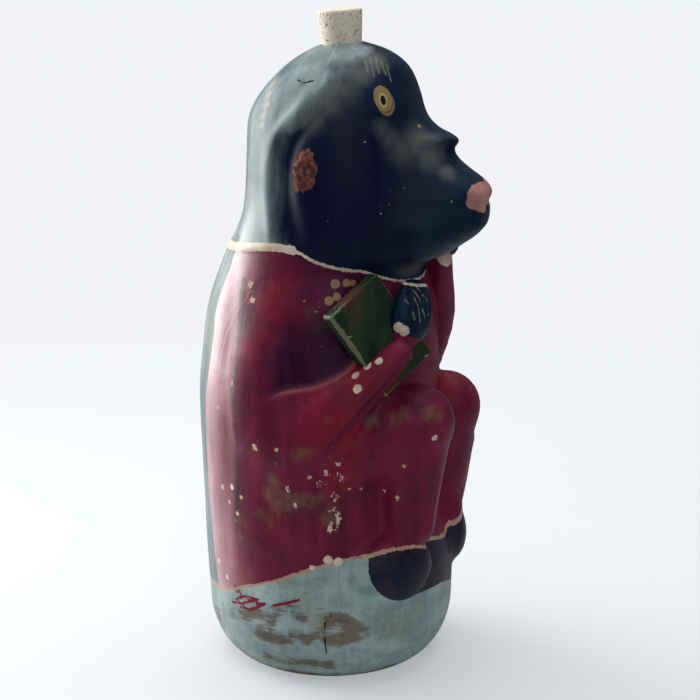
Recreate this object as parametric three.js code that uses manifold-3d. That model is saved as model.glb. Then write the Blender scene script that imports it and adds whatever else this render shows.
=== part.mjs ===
// A hollow bottle of fired clay in the shape of a seated monkey, with a tapered cork in its crown.
// Millimetres, +Z up. The monkey faces -Y, its right side is towards -X, and the origin is the middle
// of the foot, on the floor. "Ahead" is a distance towards -Y, "aside" a distance from the middle, and
// a turn is an angle from straight ahead, positive towards the monkey's left.
// The clay pieces are the ones that the potter forms and lutes together, with the joint line between.
import * as THREE from 'three';
import { mergeVertices } from 'three/addons/utils/BufferGeometryUtils.js';
import Module from 'manifold-3d';

const wasm = await Module();
wasm.setup();

const deg = THREE.MathUtils.degToRad;
const clamp = THREE.MathUtils.clamp;

// The whole bottle
const collarHeight = 217;
const headHeight = 112.5;
const wall = 7;
const muzzleWall = 11;
const jointGap = 0.3;
const cutOverrun = 4;

// Foot and robe
const footRadius = 44;
const plinthRadius = 66;
const plinthRise = 34;
const slabThickness = 9;
const robeDepth = 70;
const robeHalfWidth = 66;
const lapDepth = 60;
const collarSlope = 0.15;

// Head
const headDepth = 50;
const headHalfWidth = 50;
const browDepth = 48;
const faceReach = 82;
const muzzleHalfWidth = 36;
const crownAhead = 8;
const crownStartShare = 0.83;
const crownEndShare = 0.65;
const domeHeight = 44.5;
const blend = 7;
const hoodProud = 1.8;
const hoodHollow = 2.6;
const hoodFold = 6;

// Cork, and the bore that it plugs
const corkTopRadius = 11.4;
const corkLength = 32;
const corkProud = 16.5;
const corkTaperShare = 0.08;
const corkBevel = 0.8;
const corkLean = deg(4);
const boreAhead = 6.5;
const boreRimDrop = 1.6;

// Legs, from hip to foot; the left leg was set a little lower and further back by hand
const hipAside = 40;
const hipAhead = 4;
const hipDrop = 100;
const hipHeight = collarHeight - hipDrop;
const hipRadius = 29;
const kneeAside = 34;
const kneeAhead = 57;
const kneeDrop = 75;
const kneeHeight = collarHeight - kneeDrop;
const kneeRadius = 18;
const ankleAhead = 53;
const ankleHeight = 88;
const ankleRadius = 13.5;
const leftLegDrop = 11;
const leftLegBack = 2;

// Feet, as lobes on the plinth
const rightFoot = { turn: deg(-43), height: 64 };
const leftFoot = { turn: deg(34), height: 60 };
const footHalfLength = 23;
const footHalfHeight = 19;
const footProud = 11;
const footSunk = 14;

// Arms, laid flat on the robe, and the wrists that carry the hands
const armHalfWidth = 23;
const wristHalfWidth = 8.5;
const wristHalfDepth = 8;
const rightWristTurn = deg(-9);
const rightWristRise = 2;
const leftWristTurn = deg(-19);
const leftWristRise = 6;
const leftWristShare = 0.88;

// Hands: the middle of each, its lean from upright, and the ridges of its fingers
const rightPalmDrop = 20;
const leftPalmRise = 14;
const rightPalm = { turn: deg(-34), height: collarHeight - rightPalmDrop, off: 9, lean: deg(20) };
const leftPalm = { turn: deg(37), height: collarHeight + leftPalmRise, off: 3, lean: deg(42) };
const handHalfLength = 17;
const handHalfWidth = 10.5;
const handHalfDepth = 7.5;
const fingerRidgeShare = 0.16;

// Book
const bookLength = 52;
const bookWidth = 34.5;
const bookThickness = 8;
const bookCorner = 3;
const bookEdge = 0.8;
const bookTurn = deg(-50);
const bookDrop = 28;
const bookOff = 3.6;
const bookFacing = deg(-42);
const bookRoll = deg(33);
const bookLean = deg(9.5);

// Ears: the right one has broken off short, the left one is whole
const earTurn = deg(92);
const earRise = 54;
const earHeight = collarHeight + earRise;
const earStumpHalfHeight = 11;
const earStumpHalfWidth = 7.5;
const earStumpProud = 4;
const earHalfHeight = 19;
const earHalfWidth = 13;
const earProud = 9;

// Facets
const aroundBody = 52;
const aroundLeg = 16;
const aroundArm = 16;
const aroundHand = 32;
const aroundEar = 24;
const cheekSteps = 15;
const domeSteps = 8;
// Facets are closest together in front, and where the foot curves.
const frontFocusShare = 0.3;
const robeLevelShares = [
  0, 0.015, 0.035, 0.065, 0.11, 0.17, 0.24, 0.31, 0.4, 0.5, 0.6, 0.7, 0.8, 0.87, 0.93, 1,
];

// Outlines of the column, seen from behind, from the side and in front. Heights are shares of the
// collar's height below it and of the head's height above it; the rest are shares of the named depths.
const robeBackShares = [
  [0.29, 0.968], [0.45, 0.983], [0.6, 1], [0.7, 1], [0.8, 0.965], [0.9, 0.92], [1, 0.836],
];
const robeSideShares = [
  [0.29, 1.02], [0.45, 1.03], [0.6, 1.03], [0.7, 1.02], [0.8, 0.98], [0.9, 0.9], [1, 0.77],
];
const robeLapShares = [
  [0.25, 1.09], [0.33, 1.01], [0.4, 0.89], [0.5, 0.84], [0.6, 0.88], [0.7, 0.95], [0.8, 0.93], [0.9, 0.87],
  [1, 0.76],
];
const headBackShares = [
  [0.1, 1.08], [0.2, 1.004], [0.3, 0.984], [0.45, 1], [0.6, 1.005], [0.7, 0.985], [0.8, 0.93], [0.9, 0.87],
  [1, 0.8],
];
const headSideShares = [
  [0.1, 1.03], [0.2, 1.04], [0.3, 1.03], [0.45, 1], [0.6, 0.95], [0.75, 0.9], [1, 0.86],
];
const headBrowShares = [
  [0.1, 1], [0.2, 1.04], [0.3, 1.03], [0.4, 0.98], [0.5, 0.9], [0.6, 0.825], [0.7, 0.83], [0.8, 0.885],
  [0.9, 1], [1, 1.1],
];
const faceReachShares = [
  [-0.04, 0.54], [0, 0.6], [0.03, 0.665], [0.06, 0.755], [0.1, 0.83], [0.15, 0.915], [0.2, 0.96], [0.3, 0.96],
  [0.345, 0.96], [0.385, 0.915], [0.435, 0.815], [0.48, 0.74], [0.53, 0.713], [0.575, 0.73], [0.615, 0.61],
  [0.66, 0.53], [0.71, 0.47], [0.76, 0.44], [0.85, 0.36], [1, 0.1],
];
const muzzleWidthShares = [
  [-0.04, 1.1], [0.05, 1.15], [0.2, 1.1], [0.3, 1.02], [0.4, 0.92], [0.5, 0.78], [0.58, 0.66], [0.65, 0.75],
  [0.72, 0.95], [0.8, 1], [1, 0.7],
];
// A muzzle is rounder than a box and squarer than an ellipse: this is the power of its outline.
const muzzlePower = 2.4;

// The hood's front edge: shares of the head's height, and how many degrees it lies from straight ahead.
const hoodEdgeShares = [
  [0.044, 96], [0.142, 99], [0.249, 103], [0.373, 107], [0.507, 106], [0.613, 101], [0.729, 88], [0.844, 76],
  [0.969, 62],
];
const hoodStartShares = [0.08, 0.2];
const hoodEndShares = [0.7, 0.9];

// Arms by stations from the shoulder down: the turn in degrees, the height as a share of the collar's,
// then how far the middle stands off the skin (negative when sunk in it), the half width along the
// skin and the half depth away from it, as shares of the arm's half width.
const rightArmShares = [
  [-108, 0.94, -0.65, 0.65, 0.52],
  [-108, 0.793, -0.39, 0.91, 0.61],
  [-103, 0.65, -0.35, 1, 0.61],
  [-84, 0.636, -0.3, 1, 0.61],
  [-64, 0.7235, -0.045, 0.61, 0.48],
];
const leftArmShares = [
  [108, 0.94, -0.65, 0.65, 0.52],
  [92, 0.793, -0.35, 0.83, 0.565],
  [64, 0.682, -0.22, 0.7, 0.52],
  [40, 0.8065, 0.13, 0.435, 0.39],
];

const up = new THREE.Vector3(0, 0, 1);
const place = (aside, ahead, height) => new THREE.Vector3(aside, -ahead, height);
const outwards = (turn) => new THREE.Vector3(Math.sin(turn), -Math.cos(turn), 0);
const steps = (count, from, to) => {
  return Array.from({ length: count + 1 }, (_, i) => from + (to - from) * i / count);
};
const turns = (count) => steps(count, 0, 2 * Math.PI).slice(0, count);

// A smooth curve through [position, value] stations, with the slope at each taken from its neighbours.
function follow(stations, at) {
  const last = stations.length - 1;
  const x = clamp(at, stations[0][0], stations[last][0]);
  let k = 0;
  while (k < last - 1 && x > stations[k + 1][0]) {
    k += 1;
  }
  const slope = (i) => {
    const before = stations[Math.max(i - 1, 0)];
    const after = stations[Math.min(i + 1, last)];
    return (after[1] - before[1]) / (after[0] - before[0]);
  };
  const step = stations[k + 1][0] - stations[k][0];
  const t = (x - stations[k][0]) / step;
  const rise = t * t * (3 - 2 * t);
  const level = stations[k][1] * (1 - rise) + stations[k + 1][1] * rise;
  return level + step * t * (1 - t) * (slope(k) * (1 - t) - slope(k + 1) * t);
}

const fromCollar = (shares, size) => {
  return shares.map(([h, share]) => [collarHeight + h * headHeight, share * size]);
};

// One outline in real sizes: the plinth, the robe up to the collar, then the head.
function outline(robeShares, robeSize, headShares, headSize) {
  const robe = robeShares.map(([h, share]) => [h * collarHeight, share * robeSize]);
  return [[plinthRise, plinthRadius], ...robe, ...fromCollar(headShares, headSize)];
}

const backOutline = outline(robeBackShares, robeDepth, headBackShares, headDepth);
const sideOutline = outline(robeSideShares, robeHalfWidth, headSideShares, headHalfWidth);
const frontOutline = outline(robeLapShares, lapDepth, headBrowShares, browDepth);
const faceOutline = fromCollar(faceReachShares, faceReach);
const muzzleOutline = fromCollar(muzzleWidthShares, muzzleHalfWidth);
const domeStart = collarHeight + headHeight - domeHeight;

// How far ahead of the origin the column's axis runs at a height: it moves forward under the crown.
function axisAhead(height) {
  const start = collarHeight * crownStartShare;
  const end = collarHeight + headHeight * crownEndShare;
  return crownAhead * THREE.MathUtils.smoothstep(height, start, end);
}

// Radius of the hollow column at a turn and a height, for the outside or for a skin inside it.
function skinRadius(turn, height, inset = 0) {
  const depth = follow(Math.cos(turn) > 0 ? frontOutline : backOutline, height) - inset;
  const side = follow(sideOutline, height) - inset;
  const oval = 1 / Math.hypot(Math.sin(turn) / side, Math.cos(turn) / depth);
  const rise = clamp((height - domeStart) / (domeHeight - inset), 0, 1);
  const fall = clamp(1 - height / plinthRise, 0, 1);
  const foot = footRadius + (plinthRadius - footRadius) * Math.sqrt(1 - fall * fall);
  return oval * Math.sqrt(1 - rise * rise) * foot / plinthRadius;
}

// Radius of the face alone, which juts out of the head in front.
function faceRadius(turn, height, inset = 0) {
  if (Math.cos(turn) <= 0 || height < faceOutline[0][0]) {
    return 0;
  }
  const across = Math.abs(Math.sin(turn)) / (follow(muzzleOutline, height) - inset);
  const along = Math.cos(turn) / (follow(faceOutline, height) - inset);
  const rise = clamp((height - domeStart) / domeHeight, 0, 1);
  return (1 - rise * rise) ** 0.25 * (across ** muzzlePower + along ** muzzlePower) ** (-1 / muzzlePower);
}

function smoothMax(a, b, width) {
  const near = Math.max(width - Math.abs(a - b), 0) / width;
  return Math.max(a, b) + near * near * width / 4;
}

// The hood's edge is pinched up into a ridge, with a hollow pressed in before it, where the ears are.
const hoodEdge = hoodEdgeShares.map(([share, turn]) => [collarHeight + share * headHeight, deg(turn)]);
const hoodBand = (height, shares) => THREE.MathUtils.smoothstep(
  (height - collarHeight) / headHeight,
  ...shares,
);
function hoodRelief(turn, height, radius) {
  const seen = Math.atan2(radius * Math.abs(Math.sin(turn)), radius * Math.cos(turn) + axisAhead(height));
  const behind = (seen - follow(hoodEdge, height)) * headHalfWidth;
  const bump = (middle) => Math.exp(-(((behind - middle) / hoodFold) ** 2));
  const band = hoodBand(height, hoodStartShares) * (1 - hoodBand(height, hoodEndShares));
  return band * (hoodProud * bump(hoodFold) - hoodHollow * bump(-hoodFold));
}

function headRadius(turn, height) {
  const radius = smoothMax(skinRadius(turn, height), faceRadius(turn, height), blend);
  return radius + hoodRelief(turn, height, radius);
}

const robeInside = (turn, height) => skinRadius(turn, height, wall);
const wallMiddle = (turn, height) => skinRadius(turn, height, wall / 2);

// The muzzle is hollowed from inside too, with a thicker wall.
const headInside = (turn, height) => smoothMax(
  skinRadius(turn, height, wall),
  faceRadius(turn, height, muzzleWall),
  blend,
);

// The point at a turn and a height on a skin that is given by its radius, moved out by a margin.
const onSkin = (radiusAt, turn, height, margin = 0) => place(0, axisAhead(height), height)
  .addScaledVector(outwards(turn), radiusAt(turn, height) + margin);

const bodyTurns = turns(aroundBody).map((turn) => turn - frontFocusShare * Math.sin(turn));
const skinRing = (radiusAt, heightAt, margin = 0) => bodyTurns.map((turn) => {
  return onSkin(radiusAt, turn, heightAt(turn), margin);
});

const circleRing = (turnList, middle, axis, radius) => {
  const tilt = new THREE.Quaternion().setFromUnitVectors(up, axis);
  return turnList.map((turn) => middle.clone().addScaledVector(outwards(turn).applyQuaternion(tilt), radius));
};

// Joins rings of points into one skin, which runs from the last ring back to the first, or is capped
// at both ends. Seen along the way from ring to ring, each ring turns anticlockwise about its outside.
function ringBody(rings, closed) {
  const count = rings[0].length;
  const points = rings.flat();
  const faces = [];
  for (let i = 0; i < (closed ? rings.length : rings.length - 1); i += 1) {
    const low = i * count;
    const high = ((i + 1) % rings.length) * count;
    for (let j = 0; j < count; j += 1) {
      const next = (j + 1) % count;
      faces.push(low + j, low + next, high + next, low + j, high + next, high + j);
    }
  }
  if (!closed) {
    for (const ring of [0, rings.length - 1]) {
      const middle = rings[ring].reduce((sum, p) => sum.add(p), new THREE.Vector3()).divideScalar(count);
      const centre = points.push(middle) - 1;
      for (let j = 0; j < count; j += 1) {
        const edge = [ring * count + j, ring * count + (j + 1) % count];
        faces.push(centre, ...(ring === 0 ? edge.reverse() : edge));
      }
    }
  }
  const geometry = new THREE.BufferGeometry().setFromPoints(points);
  geometry.setIndex(faces);
  return geometry;
}

function solid(geometry) {
  const bare = geometry.clone();
  bare.deleteAttribute('normal');
  bare.deleteAttribute('uv');
  const merged = mergeVertices(bare, jointGap / 1000);
  return new wasm.Manifold(new wasm.Mesh({
    numProp: 3,
    vertProperties: new Float32Array(merged.attributes.position.array),
    triVerts: new Uint32Array(merged.index.array),
  }));
}

function shape(body) {
  const mesh = body.getMesh();
  const geometry = new THREE.BufferGeometry();
  geometry.setAttribute('position', new THREE.BufferAttribute(new Float32Array(mesh.vertProperties), 3));
  geometry.setIndex(new THREE.BufferAttribute(new Uint32Array(mesh.triVerts), 1));
  return geometry;
}

const cut = (body, ...tools) => tools.reduce((rest, tool) => rest.subtract(tool), body);

// The collar is one slanting plane, lower in front than behind.
const collarAt = (turn) => collarHeight - collarSlope * Math.cos(turn) * skinRadius(turn, collarHeight);
const potFoot = slabThickness + jointGap;

const robeRim = (turn) => collarAt(turn) - jointGap / 2;
const robeLevel = (share) => (turn) => potFoot + share * (robeRim(turn) - potFoot);
const robeOutside = (margin) => {
  return robeLevelShares.map((share) => skinRing(skinRadius, robeLevel(share), margin));
};
const pastCollar = (turn) => collarAt(turn) + cutOverrun;

// A straight tapered limb with round ends.
function limbBlank(start, end, startRadius, endRadius) {
  const axis = end.clone().sub(start).normalize();
  const ring = (middle, radius, rise) => circleRing(
    turns(aroundLeg),
    middle.clone().addScaledVector(axis, radius * Math.sin(rise)),
    axis,
    radius * Math.cos(rise),
  );
  const rises = steps(4, 0, Math.PI / 2).slice(0, 4);
  return solid(ringBody([
    ...rises.toReversed().map((rise) => ring(start, startRadius, -rise)),
    ...rises.map((rise) => ring(end, endRadius, rise)),
  ], false));
}

// Thighs and shins, one side after the other, or all of them grown by a margin.
const legBlanks = (margin) => [-1, 1].flatMap((side) => {
  const drop = side > 0 ? leftLegDrop : 0;
  const back = side > 0 ? leftLegBack : 0;
  const hip = place(side * hipAside, hipAhead, hipHeight);
  const knee = place(side * kneeAside, kneeAhead - back, kneeHeight - drop);
  const ankle = place(side * kneeAside, ankleAhead - back, ankleHeight - drop);
  return [
    limbBlank(hip, knee, hipRadius + margin, kneeRadius + margin),
    limbBlank(ankle, knee, ankleRadius + margin, kneeRadius + margin),
  ];
});

const join = (body, ...others) => others.reduce((whole, other) => whole.add(other), body);

// The torso is an open pot with plain walls, and solid legs that reach half way into them.
function torsoPot() {
  const inner = steps(4, 1, 0).map((share) => skinRing(robeInside, robeLevel(share)));
  const core = steps(4, 0, 1).map((share) => skinRing(wallMiddle, robeLevel(share)));
  const legs = legBlanks(0).map((leg) => cut(leg, solid(ringBody(core, false))));
  return shape(join(solid(ringBody([...robeOutside(0), ...inner], true)), ...legs));
}

// The same outside grown by the joint line, and run on past the collar.
function robeTool() {
  const above = skinRing(skinRadius, pastCollar, jointGap);
  return join(solid(ringBody([...robeOutside(jointGap), above], false)), ...legBlanks(jointGap));
}

// The head is a dome over the collar, with a leaning bore through its crown.
const boreAxis = new THREE.Vector3(0, Math.sin(corkLean), Math.cos(corkLean));
const boreTop = place(0, boreAhead, collarHeight + headHeight - boreRimDrop);
const corkRadiusAt = (rise) => corkTopRadius - corkTaperShare * (corkProud - rise);
const boreRing = (rise) => circleRing(
  bodyTurns,
  boreTop.clone().addScaledVector(boreAxis, rise),
  boreAxis,
  corkRadiusAt(rise) + jointGap,
);
const domeEnd = deg(72);
const headRim = (turn) => collarAt(turn) + jointGap / 2;
const cheekLevel = (share) => (turn) => headRim(turn) + share * (domeStart - headRim(turn));

function headOutside(margin) {
  const cheek = steps(cheekSteps, 0, 1).slice(0, cheekSteps);
  const dome = steps(domeSteps, 0, domeEnd).map((rise) => domeStart + domeHeight * Math.sin(rise));
  return [
    ...cheek.map((share) => skinRing(headRadius, cheekLevel(share), margin)),
    ...dome.map((height) => skinRing(headRadius, () => height, margin)),
  ];
}

function headPot() {
  const dome = steps(5, domeEnd, 0).map((rise) => domeStart + (domeHeight - wall) * Math.sin(rise));
  const cheek = steps(6, 1, 0).slice(1);
  return ringBody([
    ...headOutside(0),
    boreRing(0),
    boreRing(-wall),
    ...dome.map((height) => skinRing(headInside, () => height)),
    ...cheek.map((share) => skinRing(headInside, cheekLevel(share))),
  ], true);
}

function headTool() {
  const below = skinRing(headRadius, (turn) => collarAt(turn) - cutOverrun, jointGap);
  return solid(ringBody([below, ...headOutside(jointGap)], false));
}

function lathe(profile, segments) {
  const points = profile.map(([radius, height]) => new THREE.Vector2(radius, height));
  return new THREE.LatheGeometry(points, segments).rotateX(Math.PI / 2);
}

function floorSlab() {
  const edge = steps(4, 0, slabThickness).map((height) => {
    const fall = 1 - height / plinthRise;
    return [footRadius + (plinthRadius - footRadius) * Math.sqrt(1 - fall * fall), height];
  });
  return lathe([[0, 0], ...edge, [0, slabThickness]], aroundBody);
}

function corkStopper() {
  const foot = corkProud - corkLength;
  const profile = [
    [0, foot],
    [corkRadiusAt(foot) - corkBevel, foot],
    [corkRadiusAt(foot), foot + corkBevel],
    [corkTopRadius, corkProud - corkBevel],
    [corkTopRadius - corkBevel, corkProud],
    [0, corkProud],
  ];
  return lathe(profile, 32);
}

// A limb along a smooth path, with round ends, that lies flat on the body: each station has its middle
// and its half sizes along the skin and away from it.
function limb(path, halfWidths, halfDepths, around, spans, capSteps, ridgeAt = () => 0) {
  const curve = new THREE.CatmullRomCurve3(path, false, 'centripetal');
  const last = path.length - 1;
  const along = (sizes, t) => follow(sizes.map((size, i) => [i / last, size]), t);
  const ring = (t, shrink, shift) => {
    const middle = curve.getPoint(t);
    const tangent = curve.getTangent(t);
    const out = outwards(Math.atan2(middle.x, -middle.y)).projectOnPlane(tangent).normalize();
    const side = new THREE.Vector3().crossVectors(tangent, out);
    const width = along(halfWidths, t);
    const depth = along(halfDepths, t);
    return turns(around).map((turn) => {
      const size = shrink * (1 + ridgeAt(turn, t));
      return middle.clone()
        .addScaledVector(tangent, shift * Math.min(width, depth))
        .addScaledVector(side, size * width * Math.sin(turn))
        .addScaledVector(out, size * depth * Math.cos(turn));
    });
  };
  const cap = steps(capSteps, 0, Math.PI / 2).slice(1, capSteps);
  return solid(ringBody([
    ...cap.toReversed().map((a) => ring(0, Math.cos(a), -Math.sin(a))),
    ...steps(last * spans, 0, 1).map((t) => ring(t, 1, 0)),
    ...cap.map((a) => ring(1, Math.cos(a), Math.sin(a))),
  ], false));
}

// The wrist is the last station of an arm, behind and below the hand that it carries.
function wrist(palm, turn, rise, share) {
  return {
    turn: palm.turn + turn,
    height: palm.height - handHalfLength,
    off: palm.off + rise,
    halfWidth: share * wristHalfWidth,
    halfDepth: share * wristHalfDepth,
  };
}

function arm(shares, wristStation, grow) {
  const stations = [...shares.map(([turn, height, off, width, depth]) => ({
    turn: deg(turn),
    height: height * collarHeight,
    off: off * armHalfWidth,
    halfWidth: width * armHalfWidth,
    halfDepth: depth * armHalfWidth,
  })), wristStation];
  const path = stations.map(({ turn, height, off }) => onSkin(skinRadius, turn, height, off));
  const halfWidths = stations.map(({ halfWidth }) => halfWidth + grow);
  const halfDepths = stations.map(({ halfDepth }) => halfDepth + grow);
  return limb(path, halfWidths, halfDepths, aroundArm, 4, 4);
}

const rightSleeve = (grow) => arm(rightArmShares, wrist(rightPalm, rightWristTurn, rightWristRise, 1), grow);
const leftSleeve = (grow) => {
  return arm(leftArmShares, wrist(leftPalm, leftWristTurn, leftWristRise, leftWristShare), grow);
};

// An egg-shaped lump with its own along, across and out directions.
function lump(middle, along, across, out, sizes, rows) {
  const geometry = new THREE.SphereGeometry(1, rows * 2, rows);
  const [halfAlong, halfAcross, halfOut] = sizes;
  const frame = new THREE.Matrix4().makeBasis(
    along.clone().multiplyScalar(halfAlong),
    across.clone().multiplyScalar(halfAcross),
    out.clone().multiplyScalar(halfOut),
  );
  return solid(geometry.applyMatrix4(frame.setPosition(middle)));
}

// A hand is a flat mitten with four finger ridges on its back, which fade out towards the wrist.
function hand(radiusAt, { turn, height, off, lean }) {
  const middle = onSkin(radiusAt, turn, height, off);
  const out = outwards(turn);
  const along = up.clone().applyAxisAngle(out, -lean);
  const path = [-0.75, -0.25, 0.3, 0.8].map((share) => middle.clone()
    .addScaledVector(along, share * handHalfLength)
    .addScaledVector(out, -share * share * handHalfDepth * 0.4));
  const halfWidths = [0.72, 1, 1, 0.78].map((share) => share * handHalfWidth);
  const halfDepths = [0.9, 1, 0.85, 0.6].map((share) => share * handHalfDepth);
  const ridgeAt = (around, t) => {
    return Math.cos(around) > 0 ? fingerRidgeShare * Math.abs(Math.sin(4 * around)) * clamp(2 * t, 0, 1) : 0;
  };
  return limb(path, halfWidths, halfDepths, aroundHand, 2, 3, ridgeAt);
}

function book(grow) {
  const halfLength = bookLength / 2;
  const halfWidth = bookWidth / 2;
  const outlineShape = new THREE.Shape();
  outlineShape.moveTo(-halfWidth + bookCorner, -halfLength);
  outlineShape.lineTo(halfWidth - bookCorner, -halfLength);
  outlineShape.quadraticCurveTo(halfWidth, -halfLength, halfWidth, -halfLength + bookCorner);
  outlineShape.lineTo(halfWidth, halfLength - bookCorner);
  outlineShape.quadraticCurveTo(halfWidth, halfLength, halfWidth - bookCorner, halfLength);
  outlineShape.lineTo(-halfWidth + bookCorner, halfLength);
  outlineShape.quadraticCurveTo(-halfWidth, halfLength, -halfWidth, halfLength - bookCorner);
  outlineShape.lineTo(-halfWidth, -halfLength + bookCorner);
  outlineShape.quadraticCurveTo(-halfWidth, -halfLength, -halfWidth + bookCorner, -halfLength);
  const slab = new THREE.ExtrudeGeometry(outlineShape, {
    depth: bookThickness - 2 * bookEdge,
    bevelThickness: bookEdge + grow,
    bevelSize: bookEdge + grow,
    bevelOffset: -bookEdge,
    bevelSegments: 2,
    curveSegments: 3,
  });
  slab.translate(0, 0, bookEdge - bookThickness / 2);
  const out = outwards(bookFacing).multiplyScalar(Math.cos(bookLean)).addScaledVector(up, Math.sin(bookLean));
  const level = new THREE.Vector3().crossVectors(up, out).normalize();
  const rise = new THREE.Vector3().crossVectors(out, level);
  const along = rise.clone().applyAxisAngle(out, bookRoll);
  const across = new THREE.Vector3().crossVectors(along, out);
  const middle = onSkin(skinRadius, bookTurn, collarHeight - bookDrop, bookOff);
  return solid(slab.applyMatrix4(new THREE.Matrix4().makeBasis(across, along, out).setPosition(middle)));
}

// A foot is an egg-shaped lobe pressed on the plinth.
function foot({ turn, height }) {
  const out = outwards(turn);
  const across = new THREE.Vector3().crossVectors(up, out);
  const halfDepth = (footProud + footSunk) / 2;
  const middle = onSkin(skinRadius, turn, height, footProud - halfDepth);
  return lump(middle, across, up.clone(), out, [footHalfLength, footHalfHeight, halfDepth], 10);
}

// What is left of the right ear is a low oval stump.
function brokenEar() {
  const middle = onSkin(headRadius, -earTurn, earHeight);
  const out = outwards(-earTurn);
  const across = new THREE.Vector3().crossVectors(out, up);
  return lump(middle, up.clone(), across, out, [earStumpHalfHeight, earStumpHalfWidth, earStumpProud], 8);
}

// The left ear is a dish with a rolled rim that sinks towards the face.
const earRims = [
  { share: 0.9, off: -0.5 },
  { share: 1, off: 0.25 },
  { share: 1, off: 0.7 },
  { share: 0.92, off: 1 },
  { share: 0.8, off: 0.95 },
  { share: 0.7, off: 0.6 },
  { share: 0.5, off: 0.35 },
  { share: 0.2, off: 0.3 },
];

function wholeEar() {
  const out = outwards(earTurn);
  const back = new THREE.Vector3().crossVectors(up, out);
  const middle = onSkin(headRadius, earTurn, earHeight);
  return solid(ringBody(earRims.map(({ share, off }) => turns(aroundEar).map((turn) => {
    const lift = off > 0 ? off * (0.7 + 0.3 * Math.sin(turn)) : off;
    return middle.clone()
      .addScaledVector(back, share * earHalfWidth * Math.sin(turn))
      .addScaledVector(up, -share * earHalfHeight * Math.cos(turn))
      .addScaledVector(out, lift * earProud);
  })), false));
}

// Each piece is cut by the ones that it is pressed on, grown by the joint line.
const robe = robeTool();
const head = headTool();
const pressedBook = book(jointGap);
const pieces = {
  torso_pot: torsoPot(),
  head_pot: headPot(),
  floor_slab: floorSlab(),
  book: shape(cut(book(0), robe, head)),
  right_arm: shape(cut(rightSleeve(0), robe, head, pressedBook)),
  left_arm: shape(cut(leftSleeve(0), robe, head)),
  right_hand: shape(cut(hand(skinRadius, rightPalm), robe, head, pressedBook, rightSleeve(jointGap))),
  left_hand: shape(cut(hand(headRadius, leftPalm), robe, head, leftSleeve(jointGap))),
  right_foot: shape(cut(foot(rightFoot), robe)),
  left_foot: shape(cut(foot(leftFoot), robe)),
  right_ear: shape(cut(brokenEar(), head)),
  left_ear: shape(cut(wholeEar(), head)),
};

// Finishes, as the photograph shows them
const finish = (color, roughness) => new THREE.MeshStandardMaterial({ color, roughness, metalness: 0 });
const robePaint = finish(0x74203a, 0.45);
const skinPaint = finish(0x1f3742, 0.45);
const footPaint = finish(0x1d222c, 0.5);
const finishes = {
  torso_pot: robePaint,
  head_pot: skinPaint,
  floor_slab: finish(0x8fa8a4, 0.5),
  book: finish(0x2c4a2c, 0.5),
  right_arm: robePaint,
  left_arm: robePaint,
  right_hand: skinPaint,
  left_hand: skinPaint,
  right_foot: footPaint,
  left_foot: footPaint,
  right_ear: finish(0xa8694f, 0.9),
  left_ear: skinPaint,
};

const bottle = new THREE.Group();
for (const [name, geometry] of Object.entries(pieces)) {
  const mesh = new THREE.Mesh(geometry, finishes[name]);
  mesh.name = name;
  bottle.add(mesh);
}

const stopper = new THREE.Mesh(corkStopper(), finish(0xcdbda2, 0.85));
stopper.name = 'cork_stopper';
stopper.position.copy(boreTop);
stopper.quaternion.setFromUnitVectors(up, boreAxis);
bottle.add(stopper);

export default bottle;
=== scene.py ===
# %% [markdown]
# The object is a hollow bottle of fired clay in the shape of a seated monkey, painted by hand, with a
# plain cork in its crown. Every size of it is fixed by the packed frame, so the frame comes first.
# Everything below only dresses it, in the frame's own place, and nothing in the frame is moved.

# %% Load the fixed frame
import math
import bpy
import numpy as np
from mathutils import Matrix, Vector


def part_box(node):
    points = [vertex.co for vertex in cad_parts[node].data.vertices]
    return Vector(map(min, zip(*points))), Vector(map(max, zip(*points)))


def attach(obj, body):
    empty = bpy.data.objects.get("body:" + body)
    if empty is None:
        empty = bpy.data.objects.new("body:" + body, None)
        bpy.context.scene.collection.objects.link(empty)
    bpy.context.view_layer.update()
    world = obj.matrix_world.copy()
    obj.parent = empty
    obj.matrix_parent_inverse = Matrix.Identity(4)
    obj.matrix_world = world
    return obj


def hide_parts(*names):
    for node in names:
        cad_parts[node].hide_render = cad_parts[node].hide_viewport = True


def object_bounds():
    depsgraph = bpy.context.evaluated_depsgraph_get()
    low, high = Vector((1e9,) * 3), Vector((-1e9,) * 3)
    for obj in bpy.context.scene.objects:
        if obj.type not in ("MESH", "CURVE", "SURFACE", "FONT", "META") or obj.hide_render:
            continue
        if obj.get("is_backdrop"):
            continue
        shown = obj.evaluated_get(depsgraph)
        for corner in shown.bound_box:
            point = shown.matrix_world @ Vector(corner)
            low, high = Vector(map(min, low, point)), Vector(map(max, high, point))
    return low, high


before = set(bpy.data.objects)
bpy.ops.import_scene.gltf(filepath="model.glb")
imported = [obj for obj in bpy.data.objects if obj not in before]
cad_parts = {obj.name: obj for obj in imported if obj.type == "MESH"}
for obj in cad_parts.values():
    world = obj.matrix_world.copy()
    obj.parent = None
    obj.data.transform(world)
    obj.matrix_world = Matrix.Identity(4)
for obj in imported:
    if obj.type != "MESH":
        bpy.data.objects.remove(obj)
cad_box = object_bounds()
MM = 0.001
print("nodes in the frame:", sorted(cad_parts))

# %% [markdown]
# The camera stands on the monkey's right, a little ahead of it, and looks slightly down, as the
# photograph does. A lens of 92 mm on a 36 mm film keeps the mild perspective of the picture. It could
# also be aimed with a Track To constraint, but a fixed rotation is easier to repeat exactly.

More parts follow.
